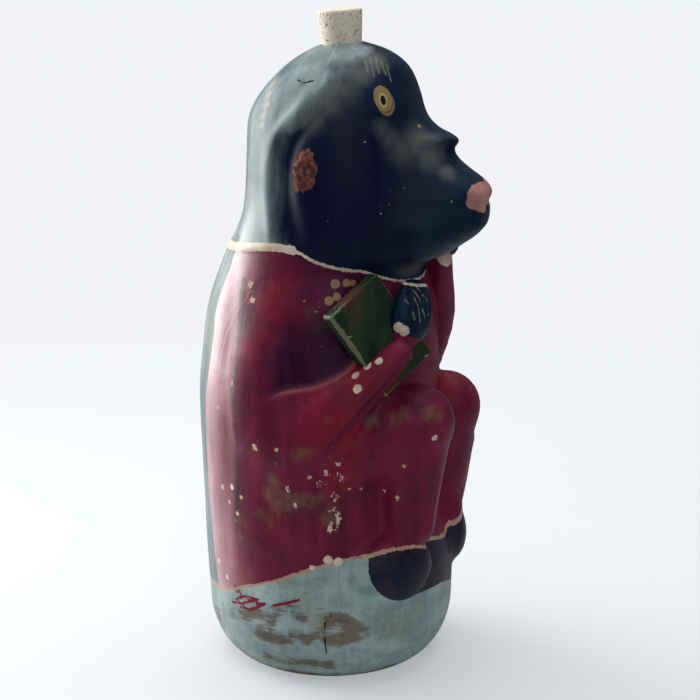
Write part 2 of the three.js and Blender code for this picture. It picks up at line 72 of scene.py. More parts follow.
# %% Camera
CAMERA_PLACE = Vector((-0.8758, -0.2785, 0.4090))
CAMERA_LOOK = Vector((0.9246, 0.2827, -0.2553))
camera = bpy.data.objects.new("camera", bpy.data.cameras.new("camera"))
camera.data.sensor_width = 36.0
camera.data.lens = 91.85
camera.data.clip_start = 0.05
camera.location = CAMERA_PLACE
camera.rotation_euler = CAMERA_LOOK.to_track_quat("-Z", "Y").to_euler()
bpy.context.scene.collection.objects.link(camera)
bpy.context.scene.camera = camera
bpy.context.scene.view_settings.view_transform = "Standard"
print("camera distance in metres:", round(CAMERA_PLACE.length, 3))

# %% [markdown]
# The column of the bottle, robe and head, is a lathe-like form, but it isn't round: its outline from
# the side is one curve, its outline in front another, and its back a third. Each curve goes smoothly
# through a few stations, a height and a half size in millimetres, written as shares of the robe's and
# the head's own sizes. A spline object could hold them too, but plain numbers can be asked for a value
# at thousands of heights at once.

# %% Smooth outlines of the column
COLLAR = 217.0
HEAD = 112.5
PLINTH = 66.0
PLINTH_RISE = 34.0
ROBE_HALF = {"back": 70, "side": 66, "front": 60}
HEAD_HALF = {"back": 50, "side": 50, "front": 48}


def ease(t):
    """A rise from 0 to 1 that is level at both ends."""
    return t * t * (3 - 2 * t)


def follow(stations, at):
    """A smooth curve through (position, value) stations, at many positions at once."""
    x, y = np.array(stations, float).T
    slope = np.gradient(y, x)
    slope[1:-1] = (y[2:] - y[:-2]) / (x[2:] - x[:-2])
    at = np.clip(at, x[0], x[-1])
    k = np.clip(np.searchsorted(x, at, "right") - 1, 0, len(x) - 2)
    stretch = x[k + 1] - x[k]
    t = (at - x[k]) / stretch
    rise = ease(t)
    bend = stretch * t * (1 - t) * (slope[k] * (1 - t) - slope[k + 1] * t)
    return y[k] * (1 - rise) + y[k + 1] * rise + bend


def up_the_head(size, shares):
    """Stations up the head, from shares of its height and of a half size."""
    return [(COLLAR + h * HEAD, s * size) for h, s in shares]


def outline(way, robe, head):
    """One outline from the plinth to the crown, from shares of the robe's and the head's sizes."""
    low = [(PLINTH_RISE, PLINTH)] + [(h * COLLAR, s * ROBE_HALF[way]) for h, s in robe]
    return low + up_the_head(HEAD_HALF[way], head)


BACK = outline(
    "back", [(.29, .968), (.45, .983), (.6, 1), (.7, 1), (.8, .965), (.9, .92), (1, .836)],
    [(.1, 1.08), (.2, 1.004), (.3, .984), (.45, 1), (.6, 1.005), (.7, .985), (.8, .93), (.9, .87), (1, .8)])
SIDE = outline(
    "side", [(.29, 1.02), (.45, 1.03), (.6, 1.03), (.7, 1.02), (.8, .98), (.9, .9), (1, .77)],
    [(.1, 1.03), (.2, 1.04), (.3, 1.03), (.45, 1), (.6, .95), (.75, .9), (1, .86)])
FRONT = outline(
    "front",
    [(.25, 1.09), (.33, 1.01), (.4, .89), (.5, .84), (.6, .88), (.7, .95), (.8, .93), (.9, .87), (1, .76)],
    [(.1, 1), (.2, 1.04), (.3, 1.03), (.4, .98), (.5, .9), (.6, .825), (.7, .83), (.8, .885), (.9, 1),
     (1, 1.1)])
print("half depth of the robe's back:", round(float(follow(BACK, COLLAR * .6)), 1), "mm")

# %% [markdown]
# The face is a second form that grows out of the head: brow, cheeks and muzzle. One curve says how far
# it reaches forward at each height and another how wide it is. Sculpting it would be quicker by hand,
# but two curves can be read straight from the photograph's outline and put right one height at a time.

# %% Outlines of the face
FACE_LENGTH = 82
MUZZLE_HALF = 36
CROWN_AHEAD = 8
LEAN_START, LEAN_END = 180, 290

FACE_REACH = up_the_head(FACE_LENGTH, [
    (-.04, .54), (0, .6), (.03, .665), (.06, .755), (.1, .83), (.15, .915), (.2, .96), (.3, .96),
    (.345, .96), (.385, .915), (.435, .815), (.48, .74), (.53, .713), (.575, .73), (.615, .61),
    (.66, .53), (.71, .47), (.76, .44), (.85, .36), (1, .1)])
MUZZLE = up_the_head(MUZZLE_HALF, [
    (-.04, 1.1), (.05, 1.15), (.2, 1.1), (.3, 1.02), (.4, .92), (.5, .78), (.58, .66), (.65, .75),
    (.72, .95), (.8, 1), (1, .7)])


def step(start, end, at):
    """0 before the start, 1 past the end, and a smooth rise between."""
    return ease(np.clip((at - start) / (end - start), 0, 1))


def axis_ahead(z):
    """How far ahead of the foot's middle the column's axis runs: it moves forward under the crown."""
    return CROWN_AHEAD * step(LEAN_START, LEAN_END, z)


print("the muzzle reaches", round(max(reach for height, reach in FACE_REACH), 1), "mm ahead of the axis")

# %% [markdown]
# The potter smears every joint of the wet clay with a thumb, so arms, legs and muzzle grow out of the
# body with soft fillets. A sculptor would voxel remesh joined lumps and smooth them. Here each lump is
# a field instead, a formula that gives the rough distance of a point from its skin, below zero inside.
# Two fields melt into each other where they are within a few millimetres, which makes the fillet.

# %% Fields of the column and the face
DOME = 44.5
DOME_START = COLLAR + HEAD - DOME
FOOT = 44.0
MUZZLE_POWER = 2.4
FACE_SLOPE = .8
FACE_FILLET = 7
NOT_FACE = 40.0


def smooth_min(a, b, width):
    """The nearer of two skins, with a fillet of about that width where they meet."""
    near = np.maximum(width - np.abs(a - b), 0) / width
    return np.minimum(a, b) - near * near * width / 4


def column(p):
    """The robe, the head and the plinth, without limbs or muzzle."""
    x, y, z = p.T
    ahead = -y - axis_ahead(z)
    depth = np.where(ahead > 0, follow(FRONT, z), follow(BACK, z))
    side = follow(SIDE, z)
    rise = np.clip((z - DOME_START) / DOME, 0, None)
    body = (np.sqrt((x / side) ** 2 + (ahead / depth) ** 2 + rise ** 2) - 1) * side
    fall = np.clip(1 - z / PLINTH_RISE, 0, 1)
    flare = PLINTH - FOOT
    low = (np.hypot(np.maximum(np.hypot(x, y) - FOOT, 0) / flare, fall) - 1) * flare
    return np.where(z < PLINTH_RISE, np.maximum(low, -z), body)


def face(p):
    """The muzzle and brow, which jut out of the head in front, with squarish level cuts."""
    x, y, z = p.T
    ahead = -y - axis_ahead(z)
    r = np.hypot(x, ahead) + 1e-9
    rise = np.clip((z - DOME_START) / DOME, 0, .999)
    across = (np.abs(x) / r / follow(MUZZLE, z)) ** MUZZLE_POWER
    along = (np.maximum(ahead, 1e-6) / r / follow(FACE_REACH, z)) ** MUZZLE_POWER
    radius = (1 - rise * rise) ** .25 * (across + along) ** (-1 / MUZZLE_POWER)
    front = np.where(ahead > 0, (r - radius) * FACE_SLOPE, NOT_FACE)
    bottom = FACE_REACH[0][0] - 2
    return np.where(z < bottom, np.maximum(front, bottom - z), front)


print("the dome of the crown starts at", DOME_START, "mm")

# %% [markdown]
# Most things on the bottle are easiest to place by a turn round it and a height, as a potter does who
# turns it on a board. These helpers give the skin's radius at a turn and a height, and the point that
# lies a few millimetres out of it. A Shrinkwrap modifier finds such points too, but only on a mesh.

# %% Places on the skin
def skin_radius(turn, z):
    depth = np.where(np.cos(turn) > 0, follow(FRONT, z), follow(BACK, z))
    rise = np.clip((z - DOME_START) / DOME, 0, 1)
    return np.sqrt(1 - rise * rise) / np.hypot(np.sin(turn) / follow(SIDE, z), np.cos(turn) / depth)


def head_radius(turn, z):
    along = max(math.cos(turn), 0) / follow(FACE_REACH, z)
    power = (abs(math.sin(turn)) / follow(MUZZLE, z)) ** MUZZLE_POWER + along ** MUZZLE_POWER
    in_front = float(math.cos(turn) > 0)
    return -smooth_min(-skin_radius(turn, z), -in_front * power ** (-1 / MUZZLE_POWER), FACE_FILLET)


def out_of(turn):
    """The level direction out of the bottle at a turn from straight ahead."""
    return np.array([math.sin(turn), -math.cos(turn), 0.0])


def on_skin(turn, z, off=0.0, radius=skin_radius):
    """The point at a turn in degrees and a height on the column, moved out by off."""
    angle = math.radians(turn)
    return out_of(angle) * (float(radius(angle, z)) + off) + np.array([0, -float(axis_ahead(z)), z])


print("collar half width:", round(float(skin_radius(math.pi / 2, COLLAR)), 1), "mm")

# %% [markdown]
# Arms and hands are flattened coils of clay laid on the body. Each follows a smooth path through a few
# stations, with a half width along the skin and a half depth away from it at each. A curve with a bevel
# and a taper is Blender's own way to do this, but it can't melt into its neighbours.

# %% A limb along a path
UP = np.array([0, 0, 1.0])
FAR = 30.0


def within(p, low, high, field, margin=14.0):
    """A field that is only worked out near a box, to save time."""
    near = np.all((p > np.array(low) - margin) & (p < np.array(high) + margin), axis=1)
    out = np.full(len(p), FAR)
    if near.any():
        out[near] = field(p[near])
    return out


def smooth_path(points, spans=4):
    """A centripetal Catmull-Rom curve through the points, as rows of points."""
    p = np.array(points, float)
    p = np.vstack([2 * p[0] - p[1], p, 2 * p[-1] - p[-2]])
    rows = []
    for i in range(1, len(p) - 2):
        d = [max(np.linalg.norm(p[i + k + 1, :3] - p[i + k, :3]) ** .5, 1e-3) for k in (-1, 0, 1)]
        t = np.linspace(0, 1, spans + 1)[:, None]
        if i < len(p) - 3:
            t = t[:-1]
        middle = (p[i + 1] - p[i]) / d[1]
        leave = d[1] * ((p[i] - p[i - 1]) / d[0] - (p[i + 1] - p[i - 1]) / (d[0] + d[1]) + middle)
        reach = d[1] * (middle - (p[i + 2] - p[i]) / (d[1] + d[2]) + (p[i + 2] - p[i + 1]) / d[2])
        rise = ease(t)
        bend = leave * t * (1 - t) ** 2 - reach * t * t * (1 - t)
        rows.append(p[i] * (1 - rise) + p[i + 1] * rise + bend)
    return np.vstack(rows)


def limb_field(stations):
    """The field of a flattened limb whose stations are point, half width and half depth."""
    rows = smooth_path([(*point, width, depth) for point, width, depth in stations])
    grown = rows[:, 3:4].max()

    def field(p):
        best = np.full(len(p), FAR)
        for a, b in zip(rows[:-1], rows[1:]):
            along = b[:3] - a[:3]
            length = np.linalg.norm(along)
            tangent = along / length
            middle = (a[:3] + b[:3]) / 2
            out = out_of(math.atan2(middle[0], -middle[1]))
            out = out - tangent * (out @ tangent)
            out /= np.linalg.norm(out)
            side = np.cross(tangent, out)
            d = p - a[:3]
            t = np.clip(d @ tangent / length, 0, 1)
            d = d - t[:, None] * along
            width = a[3] + (b[3] - a[3]) * t
            depth = a[4] + (b[4] - a[4]) * t
            least = np.minimum(width, depth)
            f = np.sqrt((d @ side / width) ** 2 + (d @ out / depth) ** 2 + (d @ tangent / least) ** 2) - 1
            best = np.minimum(best, f * least)
        return best

    low, high = rows[:, :3].min(0) - grown, rows[:, :3].max(0) + grown
    return lambda p: within(p, low, high, field)


def arm_field(stations):
    return limb_field([(on_skin(turn, z, off), width, depth) for turn, z, off, width, depth in stations])


# The stations are turn, height, how far out of the skin, half width and half depth.
right_arm = arm_field([(-108, 204, -15, 15, 12), (-108, 172, -9, 21, 14), (-103, 141, -8, 23, 14),
                       (-84, 138, -7, 23, 14), (-64, 157, -1, 12.5, 10.5), (-43, 180, 11, 7, 7.2)])
left_arm = arm_field([(108, 204, -15, 15, 12), (92, 172, -8, 19, 13), (64, 148, -5, 16, 12),
                      (40, 175, 3, 10, 9), (18, 215, 9, 7.5, 7)])
print("right wrist at", np.round(on_skin(-43, 180, 11), 1), "mm")

# %% [markdown]
# The legs are straight tapered coils, hip to knee and knee to ankle, and the feet are egg-shaped lumps
# on the plinth. The left leg was set a little lower and further back by hand, and the left foot is
# nearer to the middle. Scaled spheres and cones would give the same forms, to be joined afterwards.

# %% Legs and feet
HIP, KNEE, ANKLE = (40, -4, 117.0), (34, -57.0, 142.0), (34, -53.0, 88.0)
HIP_RADIUS, KNEE_RADIUS, ANKLE_RADIUS = 29, 18, 13.5
KNEE_FILLET = 4
LEG_SIDES = ((-1, 0, 0), (1, 11, 2))
FOOT_HALVES = (23, 19, 12.5)
FOOT_PROUD = 11


def capsule(p, a, b, a_radius, b_radius):
    t = np.clip((p - a) @ (b - a) / ((b - a) @ (b - a)), 0, 1)
    return np.linalg.norm(p - a - t[:, None] * (b - a), axis=1) - (a_radius + (b_radius - a_radius) * t)


def egg(p, middle, axes, halves):
    scaled = [((p - middle) @ axis / half) ** 2 for axis, half in zip(axes, halves)]
    return (np.sqrt(sum(scaled)) - 1) * min(halves)


def legs(p):
    """Thighs, knees and shins, as a side, how far it is let down and how far it is set back."""
    best = np.full(len(p), FAR)
    for side, drop, back in LEG_SIDES:
        hip, knee, ankle = (np.array(place) * (side, 1, 1) for place in (HIP, KNEE, ANKLE))
        knee, ankle = (place + (0, back, -drop) for place in (knee, ankle))
        thigh = capsule(p, hip, knee, HIP_RADIUS, KNEE_RADIUS)
        shin = capsule(p, ankle, knee, ANKLE_RADIUS, KNEE_RADIUS)
        best = np.minimum(best, smooth_min(thigh, shin, KNEE_FILLET))
    return best


def foot_field(turn, z):
    out = out_of(math.radians(turn))
    middle = on_skin(turn, z, FOOT_PROUD - FOOT_HALVES[2])
    return lambda p: egg(p, middle, (np.cross(UP, out), UP, out), FOOT_HALVES)


right_foot = foot_field(-43, 64)
left_foot = foot_field(34, 60)
print("the right knee reaches", KNEE_RADIUS - KNEE[1], "mm ahead of the bottle's middle")

# %% [markdown]
# A hand is a flat mitten with four fingers drawn in it, so its field is a short limb, and each groove
# between two fingers takes a little away along a line on its back. Single fingers could be modelled and
# joined, but in this clay they never were: the potter drew them with a stick.

# %% Hands
HAND_LENGTH, HAND_WIDTH, HAND_DEPTH = 17.0, 10.5, 7.5
HAND_SHARES, WIDTH_SHARES, DEPTH_SHARES = (-.75, -.25, .3, .8), (.72, 1, 1, .78), (.9, 1, .85, .6)
CURL = .4
FINGER_PITCH, FINGER_SPREAD = 5.4, .012
GROOVE_DEPTH, GROOVE_HALF = 1.1, .9


def hand_frame(turn, z, off, lean, radius):
    """The middle of a hand and its along, across and out directions."""
    middle = on_skin(turn, z, off, radius)
    out = out_of(math.radians(turn))
    tilt = math.radians(-lean)
    along = UP * math.cos(tilt) + np.cross(out, UP) * math.sin(tilt)
    return middle, along, np.cross(along, out), out


def hand_field(turn, z, off, lean, radius, broad=1.0):
    middle, along, across, out = hand_frame(turn, z, off, lean, radius)
    path = [middle + along * s * HAND_LENGTH - out * s * s * HAND_DEPTH * CURL for s in HAND_SHARES]
    widths = [HAND_WIDTH * broad * s for s in WIDTH_SHARES]
    depths = [HAND_DEPTH * s for s in DEPTH_SHARES]
    mitten = limb_field(list(zip(path, widths, depths)))

    def field(p):
        f = mitten(p)
        near = np.flatnonzero(f < 8)
        d = p[near] - middle
        reach, aside, lift = d @ along, d @ across, d @ out
        spread = 1 + FINGER_SPREAD * reach
        for gap in (-1, 0, 1):
            off_line = aside - gap * FINGER_PITCH * broad * spread
            groove = GROOVE_DEPTH * np.exp(-(off_line / GROOVE_HALF) ** 2)
            f[near] += groove * np.clip((reach + 2) / 5, 0, 1) * np.clip(lift / 2, 0, 1)
        return f

    return field


# A palm is turn, height, how far out of the skin, lean, and the radius that it lies on.
right_palm = (-32.5, 197, 9, 18, skin_radius)
left_palm = (37, 231, 3, 42, head_radius)
right_hand = hand_field(*right_palm, broad=1.16)
left_hand = hand_field(*left_palm)
print("right palm at", np.round(hand_frame(*right_palm)[0], 1), "mm")

# %% [markdown]
# Nothing that is formed by hand is quite even. Noise is a lattice of random heights with a smooth
# surface run through them. Blender's Clouds texture does the same on a mesh, but a field needs it
# as a formula of its own, and one fixed seed makes every run alike.

# %% Unevenness
LATTICE = np.random.default_rng(11).random((32, 32, 32))


def noise(p, size):
    """Smooth noise between 0 and 1 whose lumps are about that size."""
    q = p / size
    cell = np.floor(q).astype(int)
    t = ease(q - cell)
    total = 0
    for dx in (0, 1):
        for dy in (0, 1):
            for dz in (0, 1):
                corner = (cell + (dx, dy, dz)) % 32
                weight = np.abs(1 - dx - t[:, 0]) * np.abs(1 - dy - t[:, 1]) * np.abs(1 - dz - t[:, 2])
                total = total + weight * LATTICE[corner[:, 0], corner[:, 1], corner[:, 2]]
    return total


def uneven(p, *waves):
    """Ups and downs, each wave given by its whole height and the size of its lumps."""
    return sum(height * (noise(p, size) - .5) for height, size in waves)


print("one random height of the lattice:", round(float(LATTICE[0, 0, 0]), 3))

# %% [markdown]
# The book is a slab of clay with rounded edges, held slantwise against the chest. Its corners sit a
# little off true, as a slab that was cut with a wire does. A cube with a Bevel modifier would come out
# too crisp beside the soft hands.

# %% Book
BOOK_HALVES = (26.0, 17.25, 4.0)
BOOK_EDGE = 1.3
BOOK_WAVES = (.7, 13), (.2, 4)
BOOK_PLACE = (-50, 189, 3.6)
BOOK_FACING, BOOK_LEAN, BOOK_ROLL = (math.radians(a) for a in (-42, 9.5, 33))


def book_frame():
    """The middle of the book and its along, across and out directions."""
    out = out_of(BOOK_FACING) * math.cos(BOOK_LEAN) + np.array([0, 0, math.sin(BOOK_LEAN)])
    level = np.cross(UP, out)
    level /= np.linalg.norm(level)
    rise = np.cross(out, level)
    along = rise * math.cos(BOOK_ROLL) + np.cross(out, rise) * math.sin(BOOK_ROLL)
    return on_skin(*BOOK_PLACE), along, np.cross(along, out), out


def book(p):
    middle, *axes = book_frame()
    sides = [np.abs((p - middle) @ axis) - half + BOOK_EDGE for axis, half in zip(axes, BOOK_HALVES)]
    d = np.column_stack(sides)
    f = np.linalg.norm(np.maximum(d, 0), axis=1) + np.minimum(d.max(1), 0) - BOOK_EDGE
    near = np.flatnonzero(np.abs(f) < 4)
    f[near] += uneven(p[near], *BOOK_WAVES)
    return f


print("book middle at", np.round(book_frame()[0], 1), "mm")

# %% [markdown]
# The right ear is gone. What is left is a low oval stump, as rough as broken clay is. The left one is
# drawn whole, a thick oval with a dish pressed into it, because nothing says that it is broken too.

# %% Ears
EAR_TURN, EAR_HEIGHT = 92, 271
STUMP_HALVES, EAR_HALVES, DISH_HALVES = (9.8, 6.8, 4), (19, 13, 7.5), (13, 8.5, 6.5)
STUMP_SUNK, STUMP_OFF = .4, (0, 4.4, -1)
STUMP_WAVES = (1.1, 2.4), (.6, 1.0)
EAR_PROUD, DISH_OUT, DISH_FORWARD, DISH_FILLET = 1.5, 8, 2, 3


def right_ear(p):
    """The stump where the right ear has broken off: a low rough oval."""
    out = out_of(math.radians(-EAR_TURN))
    middle = on_skin(-EAR_TURN, EAR_HEIGHT, -STUMP_SUNK, head_radius) + STUMP_OFF
    f = egg(p, middle, (UP, np.cross(out, UP), out), STUMP_HALVES)
    near = np.flatnonzero(np.abs(f) < 5)
    f[near] += uneven(p[near], *STUMP_WAVES)
    return f


def left_ear(p):
    """The whole ear: a thick oval with a dish pressed into it."""
    out = out_of(math.radians(EAR_TURN))
    back = np.cross(UP, out)
    middle = on_skin(EAR_TURN, EAR_HEIGHT, EAR_PROUD, head_radius)
    f = egg(p, middle, (UP, back, out), EAR_HALVES)
    dish = egg(p, middle + out * DISH_OUT - back * DISH_FORWARD, (UP, back, out), DISH_HALVES)
    return -smooth_min(-f, dish, DISH_FILLET)


print("the broken ear is", 2 * STUMP_HALVES[0], "mm tall and the whole one", 2 * EAR_HALVES[0], "mm")

# %% [markdown]
# Some forms are pressed into the wet clay instead of added: the hollow in front of the hood, the two
# nostrils, the crease between the lips. Others are pinched up a little, such as the edge of the hood,
# the rolled collar and the ridges on thigh and shin. Sculpt brushes would do this by eye. Here each is
# a small push that fades out with distance from a line or a point on the skin, so its place is exact.

# %% Lines that the fingers follow
HOOD_LINE = [(222, 96), (233, 99), (245, 103), (259, 107), (274, 106), (286, 101), (299, 88), (312, 76),
    (326, 62)]
COLLAR_LINE = [(-180, 224), (-155, 225), (-133, 227.4), (-115, 229.8), (-102, 230.8), (-91, 229.3),
    (-81, 225), (-70, 221.9), (-61, 220.2), (-54, 219.3), (-40, 215), (-26, 211.6), (0, 209.5),
    (26, 211.6), (54, 219), (70, 222), (81, 225), (91, 229), (102, 230.5), (133, 227), (180, 224)]
FOREARM_BELOW = [(-50.5, -56, 176), (-55, -51, 169.5), (-59, -44, 160.5), (-62.5, -37.5, 153),
    (-65.5, -31, 145.5), (-68, -25, 139), (-69.5, -18, 132), (-69.5, -11.5, 124)]
FOREARM_EDGE = [(-99, 157.6), (-93.5, 161.2), (-87, 162.6), (-80, 164.2), (-72, 168), (-64.6, 173),
    (-59.5, 178), (-54, 182), (-49, 186.5), (-44, 191)]
ARM_BACK = [(-44, 33, 212), (-50.3, 30.7, 199.5), (-58.5, 30.5, 181.5), (-65, 29.9, 163),
    (-66.6, 29.7, 144), (-63.5, 31, 126), (-62, 31, 110), (-60.5, 32.5, 88), (-60, 31, 66)]
THIGH_RIDGE = [(-68.6, -5.3, 103.2), (-65.4, -20.3, 116.9), (-60, -34.4, 126.1), (-55.1, -48.6, 131.2),
    (-50.8, -62.9, 134.4)]
THIGH_TOP = [(-67.4, -15.6, 117.1), (-63.6, -27.6, 130.3), (-56.4, -41.1, 139.8), (-52.2, -55.4, 147.7)]
SHIN_EDGE = [(-37.4, -70.2, 112.7), (-38.5, -68, 101), (-37.7, -66.6, 90.8), (-34.6, -63.9, 79.9)]
LIPS = [(0, -86, 250.0), (-12, -83, 250.5), (-25, -71, 252.5)]
NOSTRIL, NOSTRIL_OVAL = (-7.2, -66.5, 278), (1, 1.4, 1.1)
CHEST_TURNS = -102, -47
# Millimetres of skin to a degree of turn, on the head, the chest and the back.
HEAD_DEGREE, CHEST_DEGREE, BACK_DEGREE = .87, 1.15, 1.05


def turn_of(p):
    """Degrees round the bottle from straight ahead, positive on the figure's left."""
    return np.degrees(np.arctan2(p[:, 0], -p[:, 1]))


def hill(distance, width):
    return np.exp(-(distance / width) ** 2)


def to_path(p, points):
    """Distance of each point from a path of straight stretches."""
    best = np.full(len(p), 99.0)
    points = np.array(points, float)
    for a, b in zip(points[:-1], points[1:]):
        t = np.clip((p - a) @ (b - a) / ((b - a) @ (b - a)), 0, 1)
        best = np.minimum(best, np.linalg.norm(p - a - t[:, None] * (b - a), axis=1))
    return best


def mirrored(p):
    """The points brought over to the figure's right side, so that one line serves both sides."""
    return np.column_stack([-np.abs(p[:, 0]), p[:, 1:]])


def above_forearm(p, turn):
    """How far a point of the chest lies inside the hollow over the right forearm, in millimetres."""
    above = p[:, 2] - follow(FOREARM_EDGE, turn)
    beside = (turn - CHEST_TURNS[0]) * CHEST_DEGREE
    front = CHEST_TURNS[1] - turn
    return above, np.minimum(beside, front)


print("the hood's edge is", len(HOOD_LINE), "stations and the collar", len(COLLAR_LINE))

# %% [markdown]
# A slow waviness of a fraction of a millimetre says that the whole was burnished by hand. The pushes
# are added up, and their sum is held under 4.6 mm, well inside the wall.

# %% Pressed and pinched forms
DEEPEST = 4.6
HAND_WAVES = (.55, 27), (.25, 11)
FOLD_DEPTH, HOOD_RISE, FOLD_WIDTH = 2.6, 1.8, 6
FOLD_STARTS, FOLD_ENDS = (226, 240), (296, 318)
ROLL_RISE, ROLL_WIDTH, ROLL_TURNS = .8, 2.4, (88, 98)
NOSTRIL_DEPTH, NOSTRIL_WIDTH = 3.0, 3.4
CHEST_DEPTH = 4.2
CHEST_EDGE, CHEST_FADE, CHEST_SIDE = (-.5, 2.5), (12, 46), (-2, 12)
# A crease is a path, its depth, which is below zero where it is pinched up, and its width.
LIPS_CREASE, LIPS_FADE = (LIPS, 1.3, 1.8), (-27, -20)
FOREARM_CREASE, FOREARM_FADE = (FOREARM_BELOW, 2.7, 2.0), (122, 150)
ARM_RIDGE, ARM_HOLLOW, ARM_HOLLOW_OFF = (ARM_BACK, -.5, 6), (ARM_BACK, .7, 6), (7, 7, 0)
THIGH_LOW_RIDGE, THIGH_TOP_RIDGE = (THIGH_RIDGE, -1.2, 3.2), (THIGH_TOP, -1.0, 2.6)
THIGH_HOLLOW, THIGH_HOLLOW_OFF = (THIGH_RIDGE[:4], 1.1, 3), (0, 0, 7)
SHIN_RIDGE = SHIN_EDGE, -.8, 2.2


def crease(p, path, depth, width):
    """A groove along a path, or a ridge where its depth is below zero."""
    return depth * hill(to_path(p, path), width)


def fold_and_roll(p, turn):
    """The hollow before the hood, the hood's raised edge, and the collar's roll at the back."""
    z = p[:, 2]
    behind = (np.abs(turn) - follow(HOOD_LINE, z)) * HEAD_DEGREE
    band = step(*FOLD_STARTS, z) * (1 - step(*FOLD_ENDS, z))
    before_hood = FOLD_DEPTH * hill(behind + FOLD_WIDTH, FOLD_WIDTH)
    hood_edge = HOOD_RISE * hill(behind - FOLD_WIDTH, FOLD_WIDTH)
    roll = ROLL_RISE * hill(z - follow(COLLAR_LINE, turn), ROLL_WIDTH) * step(*ROLL_TURNS, np.abs(turn))
    return band * (before_hood - hood_edge) - roll


def nose_and_lips(right):
    from_nostril = np.linalg.norm((right - NOSTRIL) / NOSTRIL_OVAL, axis=1)
    lips = crease(right, *LIPS_CREASE) * step(*LIPS_FADE, right[:, 0])
    return NOSTRIL_DEPTH * hill(from_nostril, NOSTRIL_WIDTH) + lips


def arm_and_leg_creases(p, right):
    away = crease(p, *FOREARM_CREASE) * step(*FOREARM_FADE, p[:, 2])
    away += crease(right, *ARM_RIDGE) + crease(right - ARM_HOLLOW_OFF, *ARM_HOLLOW)
    away += crease(p, *THIGH_LOW_RIDGE) + crease(p, *THIGH_TOP_RIDGE)
    away += crease(p - THIGH_HOLLOW_OFF, *THIGH_HOLLOW)
    return away + crease(right, *SHIN_RIDGE)


def pressed(p):
    """What the maker's fingers take away from the skin, in millimetres, negative where they pinch it up."""
    turn, right = turn_of(p), mirrored(p)
    above, beside = above_forearm(p, turn)
    chest = step(*CHEST_EDGE, above) * (1 - step(*CHEST_FADE, above)) * step(*CHEST_SIDE, beside)
    chest = chest * (p[:, 0] < 0)
    away = uneven(p, *HAND_WAVES) + fold_and_roll(p, turn) + nose_and_lips(right)
    return np.minimum(away + CHEST_DEPTH * chest + arm_and_leg_creases(p, right), DEEPEST)


print("pressed at the nostril:", np.round(pressed(np.array([NOSTRIL], float))[0], 1), "mm")

# %% [markdown]
# Now the fields are melted together in the order in which the potter adds the lumps, with a wider
# fillet under the muzzle and the thighs than round the thin hands. The inside of the bottle is the same
# column made smaller by the wall. Booleans on joined meshes would leave a hard line at every joint.

# %% The whole bottle, and its hollow
WALL = 7.0
MUZZLE_WALL = 11.0
FACE_BOX = (-42, -90, 210), (42, 0, 330)
LEG_BOX = (-72, -78, 70), (72, 30, 165)
LEG_FILLET, FOOT_FILLET, ARM_FILLET, EAR_FILLET, HAND_FILLET = 7, 4, 3, 2, 1.5
FLAT_FOOT = 12


def whole(p):
    """The outside of the whole clay bottle but the book, and the bare body without its lumps."""
    body = smooth_min(column(p), within(p, *FACE_BOX, face), FACE_FILLET)
    body = smooth_min(body, within(p, *LEG_BOX, legs), LEG_FILLET)
    f = smooth_min(body, right_arm(p), ARM_FILLET)
    f = smooth_min(f, left_arm(p), ARM_FILLET)
    f = smooth_min(f, np.minimum(right_foot(p), left_foot(p)), FOOT_FILLET)
    f = smooth_min(f, np.minimum(right_ear(p), left_ear(p)), EAR_FILLET)
    f = smooth_min(f, np.minimum(right_hand(p), left_hand(p)), HAND_FILLET)
    near = np.flatnonzero(np.abs(f) < 8)
    away = pressed(p[near]) * step(0, FLAT_FOOT, p[near][:, 2])
    f[near] += away
    body[near] += away
    return f, body


def hollow(p):
    return smooth_min(column(p) + WALL, within(p, *FACE_BOX, face) + MUZZLE_WALL, FACE_FILLET)


middle = np.array([[0, 0, COLLAR / 2]])
print("the middle of the robe is", round(float(-column(middle)[0]), 1), "mm inside its skin")

# %% [markdown]
# The cork is a plain tapered plug with a small bevel, set in a bore that leans back by 4 degrees. The
# bore is the cork's own taper with the frame's clearance. Real cork is full of tiny dark pores, which
# are pressed in here as small pits where a fine noise runs high, so that they show in the shape too. A
# cone with a displacement texture would do, but the bore would then need a cutter of its own.

# %% The cork and its bore
CORK_TOP, CORK_LENGTH, CORK_PROUD, CORK_TAPER = 11.5, 33.0, 17.4, .08
CORK_BEVEL = 1.6
PORE_DEPTH, LARGE_PORE_SHARE = .55, .6
SMALL_PORE, LARGE_PORE = 1.1, 2.3
PORE_STRETCH = (1, 1, .7)
SMALL_PORES_FROM, LARGE_PORES_FROM = (.72, .9), (.8, .95)
JOINT_GAP = .3
BORE_AHEAD, CROWN_DIP = 6.5, 1.6
BORE_TOP = np.array([0, -BORE_AHEAD, COLLAR + HEAD - CROWN_DIP])
BORE_LEAN = math.radians(4)
BORE_AXIS = np.array([0, math.sin(BORE_LEAN), math.cos(BORE_LEAN)])


def plug(p):
    """How far the points lie outside the cork's tapered side, and their height over the bore's mouth."""
    d = p - BORE_TOP
    rise = d @ BORE_AXIS
    radius = np.linalg.norm(d - rise[:, None] * BORE_AXIS, axis=1)
    return radius - (CORK_TOP - CORK_TAPER * (CORK_PROUD - rise)), rise


def bore(p):
    return plug(p)[0] - JOINT_GAP


def cork_field(p):
    side, rise = plug(p)
    ends = np.maximum(rise - CORK_PROUD, CORK_PROUD - CORK_LENGTH - rise)
    f = -smooth_min(-side, -ends, CORK_BEVEL)
    near = np.flatnonzero(np.abs(f) < 2)
    small = step(*SMALL_PORES_FROM, noise(p[near] * PORE_STRETCH, SMALL_PORE))
    large = step(*LARGE_PORES_FROM, noise(p[near], LARGE_PORE))
    f[near] += PORE_DEPTH * (small + LARGE_PORE_SHARE * large)
    return f


print("the cork sits", round(CORK_LENGTH - CORK_PROUD, 1), "mm deep in its bore")

